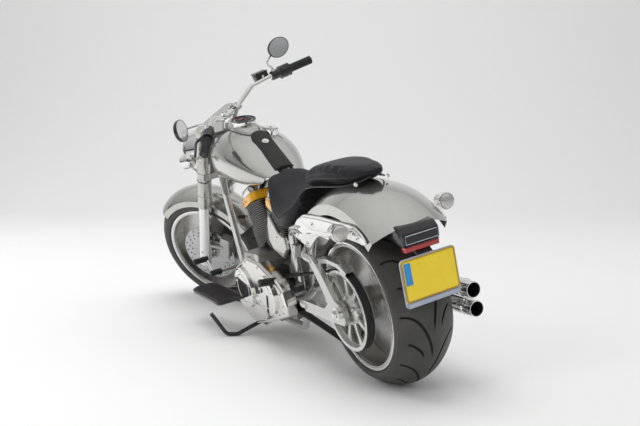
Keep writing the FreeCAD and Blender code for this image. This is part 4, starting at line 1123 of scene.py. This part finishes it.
def exhaust():
    shape = Shape()
    for middle in MUFFLERS:
        shape.turn(middle + X * (MUFFLER_END - 53.4), X, MUFFLER_TIP, 48, 0, looped=True)
        # The black liner and its closing disc are painted shade deep in the pipe.
        shape.turn(middle + X * (MUFFLER_END - 51), X, MUFFLER_SHADE_LINER, 40, 1, looped=True)
        shape.turn(middle + X * MUFFLER_END, X, MUFFLER_RING, 48, 0, looped=True)
        for x, half, inner, outer in CLAMPS:
            shape.turn(middle + X * x, X, [(-half, inner), (-half, outer), (half, outer), (half, inner)], 40)
        shape.bolt(middle + Vector((438, -6, 28)), (0, -0.2, 1), 4.5, 6)
    for x in (300, 80):
        shape.plate(round_rect(9, 10, 3), -236, -224, 1.5, 0, plane(Vector((x, 0, -32)), X, Z, Y))
    piece("exhaust_trim", "chassis", shape, "chrome", "chrome", "black_engine")


# Wheels

VALVE = [(0, 5.5), (4, 5.5), (5, 3.4), (30, 3.2), (31, 4.2), (42, 4.2), (43, 3)]
VALVE_REACH = 219
HOLE_STEP = 16
RIM_RING = [(0, 243.4), (1.6, 243.0), (2.2, 239), (1.6, 235.5), (0, 235)]


def drilled(shape, centre, way, count, inner, radius):
    """Three rings of dark dots, painted shade for the holes of a brake disc."""
    for ring in range(3):
        for index in range(count):
            spot = centre + spoke(360 * (index + ring / 3) / count) * (inner + HOLE_STEP * ring)
            shape.dot(spot, way, radius, 0.25, 16)


def valve(shape, centre, degrees):
    rim = spoke(degrees)
    shape.turn(centre + rim * VALVE_REACH, -rim, VALVE, 16, 1)


def rear_wheel():
    shape = Shape()
    low, high = span("rear_axle", UPRIGHT)
    shape.bolt(Y * high.y, Y, 17, 13)
    shape.turn(Y * (high.y + 10), Y, [(0, 12), (4, 12), (6, 9.5), (6, 0)])
    shape.bolt(Y * low.y, -Y, 17, 13)
    piece("rear_axle_nuts", "chassis", shape, "chrome", "chrome")
    shape = Shape()
    shape.bolt_circle(Y * 160, Y, 5, 20, 47, 7, 6.5)
    shape.bolt_circle(Y * -102, -Y, 5, 20, 50, 6.5, 5)
    drilled(shape, Y * -102.1, -Y, 15, 96, 4.6)
    valve(shape, Y * 60, -52)
    shape.turn(Y * 111, Y, RIM_RING, 144, 0, looped=True)
    piece("rear_wheel_trim", "rear_wheel", shape, "wheel_alloy", "chrome", "black_metal")


def front_wheel():
    shape = Shape()
    for side, face, reach in ((1, 82, 33), (-1, 76, 30)):
        shape.bolt_circle(FRONT_AXLE + Y * (face * side), Y * side, 5, 20, reach, 5, 5)
        drilled(shape, FRONT_AXLE + Y * (79 + 3.1 * side), Y * side, 18, 106, 4.4)
        shape.turn(FRONT_AXLE + Y * (70.5 * side), Y * side, RIM_RING, 144, 0, looped=True)
    valve(shape, FRONT_AXLE + Y * 30, 160)
    piece("front_wheel_trim", "front_wheel", shape, "wheel_alloy", "chrome", "black_metal")


# Struts, fork covers and fasteners

STRUT_PLATE = [(360, -198), (285, -137), (208, -105), (64, -100), (-100, -103), (-182, -106), (-232, -131),
               (-258, -159), (-236, -170), (-195, -164), (-110, -160), (5, -176), (112, -179), (169, -213),
               (219, -248), (257, -233)]
STRUT_RIB = [(250, -125), (208, -114), (64, -109), (-100, -112), (-180, -116), (-226, -138), (-195, -151),
             (-110, -147), (5, -156), (180, -159)]
STRUT_BOLTS = ((224, -226, 9, 0), (300, -166, 6, 0), (130, -135, 7, 4), (-40, -128, 7, 4),
               (-205, -148, 5.5, 0))
STRUT_FACE = 165.3
FENDER_HALF = 91
STEM_TOP = 622
LOWER_SLEEVE = [(400, 33), (400, 35.2), (403, 36), (406, 35.2), (407, 34), (484, 34), (486, 35), (489, 35),
                (490, 33)]
UPPER_SLEEVE = [(525, 33), (526, 35), (529, 35), (531, 34), (610, 34)]
LOWER_SHROUD = [(334, 32), (334, 34.5), (338, 35.2), (341, 34), (402, 34)]
UPPER_SHROUD = [(608, 34), (722, 34), (724, 35), (727, 35), (729, 33)]


def struts():
    """Pressed steel arms with a raised rib along each."""
    shape = Shape()
    for side in SIDES:
        for outline, corner, low, high in ((STRUT_PLATE, 22, 156.3, 165.0), (STRUT_RIB, 12, 164.0, 170.0)):
            outline = rounded(moved(outline, 0, CREST), corner)
            shape.plate(outline, low, high, 3.0, 0, plane(MIDDLE, X, Z, Y * side))
    piece("strut_plates", "chassis", shape, "chrome", "chrome", replaces="fender_struts")


def fork_sleeves():
    """Covers round the fork tubes, with rolled rims, below and between the clamps."""
    for name, node, profiles in (("fork_sleeves", "fork_covers", (LOWER_SLEEVE, UPPER_SLEEVE)),
                                 ("fork_shrouds", None, (LOWER_SHROUD, UPPER_SHROUD))):
        shape = Shape()
        for side in SIDES:
            for profile in profiles:
                shape.turn(fork_point(0, FORK_HALF * side), STEER_UP, profile, 48)
        piece(name, "fork", shape, "silver_paint", "silver", replaces=node)


def strut_bolts():
    shape = Shape()
    for side in SIDES:
        for x, z, radius, out in STRUT_BOLTS:
            spot = Vector((x, side * (STRUT_FACE + out), CREST + z))
            shape.bolt(spot, Y * side, radius, 5, 0, 24)
            # A dark dot on each bolt head: painted shade for the socket in it.
            shape.dot(spot + Y * (4.8 * side), Y * side, radius * 0.5)
        shape.bolt((PIVOT + 60, side * 150, 200), Y * side, 5, 4, 0, 24)
    piece("strut_bolts", "chassis", shape, "chrome", "chrome", "black_metal")


def fork_fasteners():
    mounts = Shape()
    shape = Shape()
    for side in SIDES:
        for height, ahead in ((300, 0), (268, -4)):
            foot = fork_point(height, FENDER_HALF * side, ahead)
            mounts.turn(foot, Y * -side, [(0, 8.5), (4.0, 8.5), (5.5, 7.5)], 24)
            mounts.bolt(foot - Y * (5.0 * side), Y * -side, 5.0, 4.0)
        low = fork_point(-34, FORK_HALF * side)
        shape.turn(low, -STEER_UP, [(0, 30.6), (3, 28), (5, 22), (5, 0)], 40)
        shape.bolt(low - STEER_UP * 5, -STEER_UP, 9, 6)
        for height in (52, 18):
            shape.bolt(fork_point(height, 151.5 * side), Y * side, 5.5, 5)
        top = fork_point(leg_reach(CLAMP_HIGH) + 13, FORK_HALF * side)
        shape.turn(top, STEER_UP, [(-2, 26), (2, 26), (6, 23), (7, 17)], 40)
        shape.turn(top + STEER_UP * 4, STEER_UP, [(0, 15), (7, 15), (9, 13)], 6)
        for height in (CLAMP_LOW, CLAMP_HIGH):
            shape.bolt(fork_point(leg_reach(height), 156.5 * side), Y * side, 5, 4)
        for ahead in (-12, 12):
            shape.bolt(BAR + Vector((ahead, 42 * side, 21)), Z, 4.6, 5)
    piece("fender_mounts", "fork", mounts, "chrome", "chrome")
    low, high = span("front_axle", TURNED)
    shape.bolt(FRONT_AXLE + Y * high.y, Y, 14, 9)
    shape.bolt(FRONT_AXLE + Y * low.y, -Y, 14, 9)
    stem = Vector((HEAD - math.tan(RAKE) * STEM_TOP, 0, STEM_TOP))
    shape.turn(stem, STEER_UP, [(-8, 19), (4, 19), (6, 17), (6, 10), (9, 8), (9, 0)])
    piece("fork_fasteners", "fork", shape, "chrome", "chrome", "rubber")


# Hand controls and mirrors

SWITCHES = ((-13, 0.35, 6.0), (1, 0.2, 7.0), (14, 0.4, 5.0), (-4, -0.45, 5.5))
RESERVOIR = BAR + Vector((-36, -260, 59))
MIRROR_SHELL = [(0.02, -6.0), (0.45, -5.0), (0.75, -2.6), (0.93, 2.0), (1.0, 8), (1.015, 13), (1.015, 18.4),
                (0.99, 19.6), (0.955, 19.4), (0.945, 18.2), (0.02, 18.2)]
MIRROR_FACE = [(0.945, 18.0), (0.94, 18.7), (0.55, 18.9), (0.02, 19.0)]
MIRRORS = ((1, (-54, 310, 82), (-69, 427, 114)), (-1, (-48, -335, 90), (-80, -408, 128)))
MIRROR_WIDE = 59.8
MIRROR_HIGH = 46


def grips():
    shape = Shape()
    profile = [(-118, 16.2), (-118, 20.5), (-114, 21.0), (-111, 19.4)]
    profile += ribs(-108.0, -6, 4.6, (2.6, 3.0, 4.2), 19.6, 18.4)
    profile += [(1, 19.6), (4.5, 20.4), (6.5, 19.6), (7.5, 17.0), (7.5, 0.0)]
    for side in SIDES:
        end = flipped(GRIP_END, side)
        line = flipped(GRIP_LINE, side)
        shape.turn(end, line, profile, 36)
        shape.turn(end + line * 6.5, line, [(0, 12), (2.4, 12), (3.4, 10.5), (3.4, 0)], 32, 1)
    piece("ribbed_grips", "fork", shape, "rubber", "rubber", "black_metal", replaces="grips")


def switch_block(shape, end, line):
    """Seams, switches and screws on one hand control, and its lever's clamp and pivot."""
    rise = line.cross(Z).cross(line).normalized()
    back = (line * X.dot(line) - X).normalized()
    middle = end - line * 143.5
    for along in (-24, 0, 24.4):
        shape.turn(middle + line * along, line, [(-1.2, 30.2), (-1.2, 31.2), (1.2, 31.2), (1.2, 30.2)], 40)
    for along, height, size in SWITCHES:
        way = (back + rise * height).normalized()
        face = plane(middle + line * along + way * 29.5, line, line.cross(way).normalized(), way)
        shape.plate(round_rect(size, size * 0.75, 1.6, 3), -1.0, 3.4, 1.0, 1, face)
    for height in SIDES:
        way = (rise * -0.9 * height - back * 0.3).normalized()
        shape.bolt(middle + line * 12 + way * 29.5, way, 3, 3, 2)
    perch = end - line * LEVER_BACK
    for along in (-12, 12):
        shape.bolt(perch + line * along + rise * 21.5, rise, 3.4, 4, 2)
    pivot = perch + Vector((16, 0, -6)) + rise * 8
    shape.turn(pivot, rise, [(-22, 11), (-20, 13), (6, 13), (8, 11)], 28)
    shape.bolt(pivot + rise * 8, rise, 6, 3, 2, 24)


def controls():
    shape = Shape()
    for side in SIDES:
        switch_block(shape, flipped(GRIP_END, side), flipped(GRIP_LINE, side))
    line = flipped(GRIP_LINE, -1)
    across = Z.cross(line).normalized()
    lid = plane(RESERVOIR, line, across, Z)
    for a, b, corner, low, high, edge in ((34, 23, 7, -24, 10, 3), (36, 25, 8, 10, 16, 2),
                                          (25, 14, 5, 15.5, 17.2, 0.8)):
        shape.plate(round_rect(a, b, corner), low, high, edge, 0, lid)
    for a, b in ((30, 19), (-30, 19), (30, -19), (-30, -19)):
        shape.bolt(lid(a, b, 16), Z, 2.4, 2, 2, 20)
    shape.turn(lid(0, -23.5, -6), -across, [(0, 7), (1.5, 7), (2.0, 5.6), (1.0, 5.2), (0.8, 0)], 28, 2)
    piece("control_details", "fork", shape, "black_metal", "black_metal", "rubber", "chrome")


def mirrors():
    shape = Shape()
    for hand, bend, centre in MIRRORS:
        facing = Vector((-1, -0.4 * hand, 0)).normalized()
        wide = Z.cross(facing) * MIRROR_WIDE
        high = Z * MIRROR_HIGH
        centre = BAR + Vector(centre)
        perch = flipped(GRIP_END, hand) - flipped(GRIP_LINE, hand) * LEVER_BACK + Z * 16
        shape.pipe(smooth_path([perch, perch + Z * 22, BAR + Vector(bend), centre - facing * 2]), 5.0, 16, 2)
        shape.turn(perch, Z, [(0, 10), (8, 10), (10, 8), (16, 7.4), (18, 5)], 20, 2)
        for kind, profile in enumerate((MIRROR_SHELL, MIRROR_FACE)):
            ovals = [circle(centre + facing * level, wide, high, reach, 64) for reach, level in profile]
            shape.rings(ovals, kind)
    piece("mirror_shells", "fork", shape, "black_metal", "black_metal", "mirror", "chrome",
          replaces="mirrors")


# Floorboards, pegs and levers

BOARD = (1097.5, 283.5, -106.5)
BOARD_HALF = 61.5
BOARD_LONG = 192.5
BOARD_CORNER = 24.0
BOARD_STAYS = (((985, 110, -198), (985, 250, -110.5)), ((1143, 105, -133), (1180, 250, -110.5)))
PEG_X = PIVOT + 20
LEVER_PEGS = (((1222, 246, 39.5), (1222, 317, 39.5)), ((1060, 246, 5.5), (1060, 299, 5.5)))
PEDAL = Vector((1206, -262, 0))
PEDAL_PITCH = 12


def board_half(a, inset):
    """Half width of a floorboard: a half round front end and small round corners behind."""
    if a > BOARD_LONG - BOARD_HALF:
        return math.sqrt(max(0.0, (BOARD_HALF - inset) ** 2 - (a - BOARD_LONG + BOARD_HALF) ** 2))
    if a < BOARD_CORNER - BOARD_LONG:
        reach = max(0.0, (BOARD_CORNER - inset) ** 2 - (a + BOARD_LONG - BOARD_CORNER) ** 2)
        return BOARD_HALF - BOARD_CORNER + math.sqrt(reach)
    return BOARD_HALF - inset


def board_outline(inset, places, least=0.0):
    return mirrored([(a, max(least, board_half(a, inset))) for a in places])


def boards():
    shape = Shape()
    ends = [-BOARD_LONG * math.cos(angle) for angle in steps(0, math.pi, 40)]
    for side in SIDES:
        on_board = plane(flipped(BOARD, side), X, Y, Z)
        pad = board_outline(4, steps(4 - BOARD_LONG, BOARD_LONG - 4, 40))
        shape.plate(pad, 13.0, 17.0, 2.0, 0, on_board)
        shape.plate(board_outline(0, ends, 3.0), 0.0, 14.0, 2.5, 1, on_board)
        for start, end in BOARD_STAYS:
            shape.pipe([flipped(start, side), flipped(end, side)], 9.0, 20, 1)
        for row in steps(22 - BOARD_LONG, BOARD_LONG - 25.5, 25):
            reach = board_half(row, 13)
            if reach > 12:
                shape.plate(moved(round_rect(3.2, reach, 3.0, 3), row, 0), 16.6, 19.6, 1.2, 0, on_board)
        rim = board_outline(0.2, steps(0.2 - BOARD_LONG, BOARD_LONG - 0.2, 60))
        shape.pipe([on_board(a, b, 13) for a, b in rim], 2.4, 8, 1, closed=True)
    piece("floorboard_pads", "chassis", shape, "rubber", "board", "black_metal", replaces="floorboards")


def pegs():
    shape = Shape()
    for side in SIDES:
        start = Vector((PEG_X, side * 195, 35.5))
        run = Vector((0, side * 80, 12))
        long = run.length
        profile = [(12, 14.2)] + ribs(14.0, long - 6, 7.6, (4.5, 5.2, 7.0), 15.6, 14.4)
        shape.turn(start, run, profile + [(long - 1, 16.4), (long + 2, 16), (long + 4, 12)], 28)
        shape.bolt((PEG_X, side * 186, 44), Z, 6, 5, 1, 24)
    piece("peg_rubbers", "chassis", shape, "rubber", "rubber", "chrome")
    shape = Shape()
    for start, end in LEVER_PEGS:
        run = Vector(end) - Vector(start)
        long = run.length
        profile = [(2, 12.2)] + ribs(4.0, long - 4, 5.8, (3.4, 4.0, 5.2), 13.4, 12.3)
        shape.turn(start, run, profile + [(long - 1, 13.6), (long + 1, 13.0), (long + 2, 9)], 24)
    for index in range(5):
        pedal = plane(PEDAL + X * (PEDAL_PITCH * index), X, Y, Z)
        shape.plate(round_rect(3.2, 25, 2.5, 3), 14.6, 17.2, 0.9, 0, pedal)
    piece("lever_rubbers", "chassis", shape, "rubber", "rubber")


# Belt drive

PULLEY_HUB = [(96, 20.5), (96, 60), (138, 60), (145, 58.5), (147, 56), (159, 39), (160, 37), (160, 20.5)]
PULLEY_RIM = [(141, 136), (130, 138), (130, 153), (133, 153), (133, 148), (165, 148), (165, 153), (167, 153),
              (168, 152), (168, 140), (167, 138.5), (150, 135), (148.5, 133), (142, 133)]
PULLEY_SPOKE = [(54, 15), (62, 11), (74, 8.6), (92, 8.0), (110, 9.2), (122, 12.0), (130, 17), (137, 26)]
SPOKES = 9
DRIVE = Vector((PIVOT + 85, 0, -30))
BELT_INSIDE = 148.4
DRIVE_INSIDE = 62.4
TOOTH_PITCH = 14
TOOTH = ((-3.6, -0.5), (3.6, -0.5), (2.4, 3.2), (-2.4, 3.2))


def pulley():
    """The big belt pulley: a flanged rim and a hub joined by nine waisted spokes."""
    shape = Shape()
    shape.turn(MIDDLE, Y, PULLEY_HUB, 96, 0, looped=True)
    shape.turn(MIDDLE, Y, PULLEY_RIM, 144, 0, looped=True)
    for index in range(SPOKES):
        out = spoke(360 * (index + 0.3) / SPOKES)
        shape.plate(mirrored(PULLEY_SPOKE), 139.5, 149.5, 2.4, 0, plane(MIDDLE, out, out.cross(Y), Y))
    piece("pulley_spokes", "rear_wheel", shape, "wheel_alloy", "satin", replaces="rear_pulley")


def belt_teeth():
    """Moulded teeth on the inside of the belt's two straight runs."""
    shape = Shape()
    base = math.atan2(DRIVE.z, DRIVE.x)
    lean = math.acos((BELT_INSIDE - DRIVE_INSIDE) / DRIVE.length)
    for sign in SIDES:
        out = spoke(math.degrees(base + sign * lean))
        start = out * BELT_INSIDE
        run = DRIVE + out * DRIVE_INSIDE - start
        place = plane(start, run.normalized(), -out, Y)
        for index in range(1, int(run.length / TOOTH_PITCH)):
            tooth = moved(TOOTH, TOOTH_PITCH * index, 0)
            shape.rings([[place(a, b, level) for a, b in tooth] for level in (135, 163)])
    piece("belt_teeth", "chassis", shape, "belt", "belt")


# Studio: one sheet that curves up behind, its grey painted lighter and darker along it as light and shade, a dim
# sky with a dark horizon, and small soft boxes

SHEET_AHEAD = Vector((0.898, -0.440, 0.0)).normalized()
SHEET_HALF = 12.0
SHEET_CURVE = 2.5
# Grey of the sheet along its run: lighter on the near floor, darker at the curve, a little lighter up the wall,
# as painted light and shade.
SHEET_LIGHT_AND_SHADE = [(0.0, 0.90), (0.22, 0.88), (0.42, 0.84), (0.62, 0.82), (1.0, 0.86)]
SKY_TONES = [(0.0, (0.9, 0.9, 0.89)), (0.475, (0.70, 0.70, 0.69)), (0.49, grey(0.03)), (0.525, grey(0.03)),
             (0.55, grey(0.30)), (0.75, grey(0.48)), (1.0, grey(0.80))]
BACKDROP = (0.70, 0.70, 0.70, 1)
SOFT_BOXES = (("top_box", (-0.4, 0.6, 4.4), (0, 0, 0.4), 2.6, 3.6, 70),
              ("left_box", (-2.2, 4.4, 2.2), (0, 0, 0.3), 2.0, 2.0, 65),
              ("rear_box", (-4.4, -2.6, 2.8), (0, 0, 0.6), 2.4, 2.0, 22),
              ("front_box", (3.6, 3.0, 2.6), (0.4, 0, 0.6), 1.4, 1.4, 40),
              ("wall_box", (1.6, -0.8, 5.4), (6.4, -3.1, 2.4), 10.0, 2.0, 150))


def studio():
    mesh = bpy.data.meshes.new("studio_sheet")
    sheet = new_object("studio_sheet", mesh)
    side = Z.cross(SHEET_AHEAD)
    rows = [(-9.0, 0.0)]
    for angle in quarter(12):
        rows.append((4.5 + SHEET_CURVE * math.sin(angle), SHEET_CURVE - SHEET_CURVE * math.cos(angle)))
    rows.append((7.0, 9.0))
    spots = []
    for along, up in rows:
        spots += [SHEET_AHEAD * along + side * across + Z * up for across in (-SHEET_HALF, SHEET_HALF)]
    faces = [(2 * row, 2 * row + 1, 2 * row + 3, 2 * row + 2) for row in range(len(rows) - 1)]
    mesh.from_pydata(spots, [], faces)
    mesh.shade_smooth()
    material, tree, shader, place = new_material("studio_light_and_shade")
    # The sheet's colour is ramped along its run as painted light and shade.
    share = spread(tree, along_way(tree, place, (SHEET_AHEAD.x, SHEET_AHEAD.y, 0.55)), 0.0, 1.0, -3.0, 9.0)
    tones = [(spot, grey(tone)) for spot, tone in SHEET_LIGHT_AND_SHADE]
    feed(tree, shader, {"Base Color": ramp(tree, share, tones), "Roughness": 0.8, "Specular IOR Level": 0.1})
    mesh.materials.append(material)


def area_light(name, place, target, width, height, power):
    data = bpy.data.lights.new(name, "AREA")
    data.shape = "RECTANGLE"
    data.size = width
    data.size_y = height
    data.energy = power
    lamp = new_object(name, data)
    lamp.location = place
    lamp.visible_glossy = False
    lamp.rotation_euler = (Vector(target) - Vector(place)).to_track_quat("-Z", "Y").to_euler()


def world_light():
    """A sky for reflections, dimmer behind the camera, and a plain tone where the camera looks."""
    world = bpy.data.worlds.new("studio_air")
    bpy.context.scene.world = world
    world.use_nodes = True
    tree = world.node_tree
    way = add(tree, "ShaderNodeTexCoord").outputs["Generated"]
    height = add(tree, "ShaderNodeSeparateXYZ", {"Vector": way}).outputs["Z"]
    behind = along_way(tree, way, Vector((-0.86, 0.50, 0.12)).normalized())
    background = tree.nodes["Background"]
    feed(tree, background, {"Color": ramp(tree, spread(tree, height, 0.0, 1.0, -1.0, 1.0), SKY_TONES),
                            "Strength": spread(tree, behind, 1.0, 0.22, 0.72, 0.93)})
    plain = add(tree, "ShaderNodeBackground", {"Color": BACKDROP})
    seen = add(tree, "ShaderNodeLightPath").outputs["Is Camera Ray"]
    choice = add(tree, "ShaderNodeMixShader", {"Fac": seen, 1: background.outputs[0], 2: plain.outputs[0]})
    feed(tree, tree.nodes["World Output"], {"Surface": choice.outputs["Shader"]})


def camera():
    data = bpy.data.cameras.new("view")
    data.sensor_fit = "HORIZONTAL"
    data.sensor_width = 36.0
    data.lens = 55.02
    data.clip_end = 60.0
    made = new_object("view", data)
    made.location = (-3.86725, 1.68788, 1.04988)
    right = Vector((-0.440168, -0.897913, 0.001802))
    up = Vector((0.105589, -0.049767, 0.993164))
    back = -Vector((0.891685, -0.437349, -0.116716))
    made.rotation_euler = Matrix((right, up, back)).transposed().to_euler()
    bpy.context.scene.camera = made


for build in (tyres, seats, tank_strap, instrument, filler_cap, console_trim, signals, headlamp, tail,
              plate, fin_edges, engine_bolts, rockers, pushrods, exhaust, rear_wheel, front_wheel, struts,
              fork_sleeves, strut_bolts, fork_fasteners, grips, controls, mirrors, boards, pegs, pulley,
              belt_teeth, studio):
    build()
for box in SOFT_BOXES:
    area_light(*box)
world_light()
camera()
bpy.context.scene.view_settings.view_transform = "Standard"
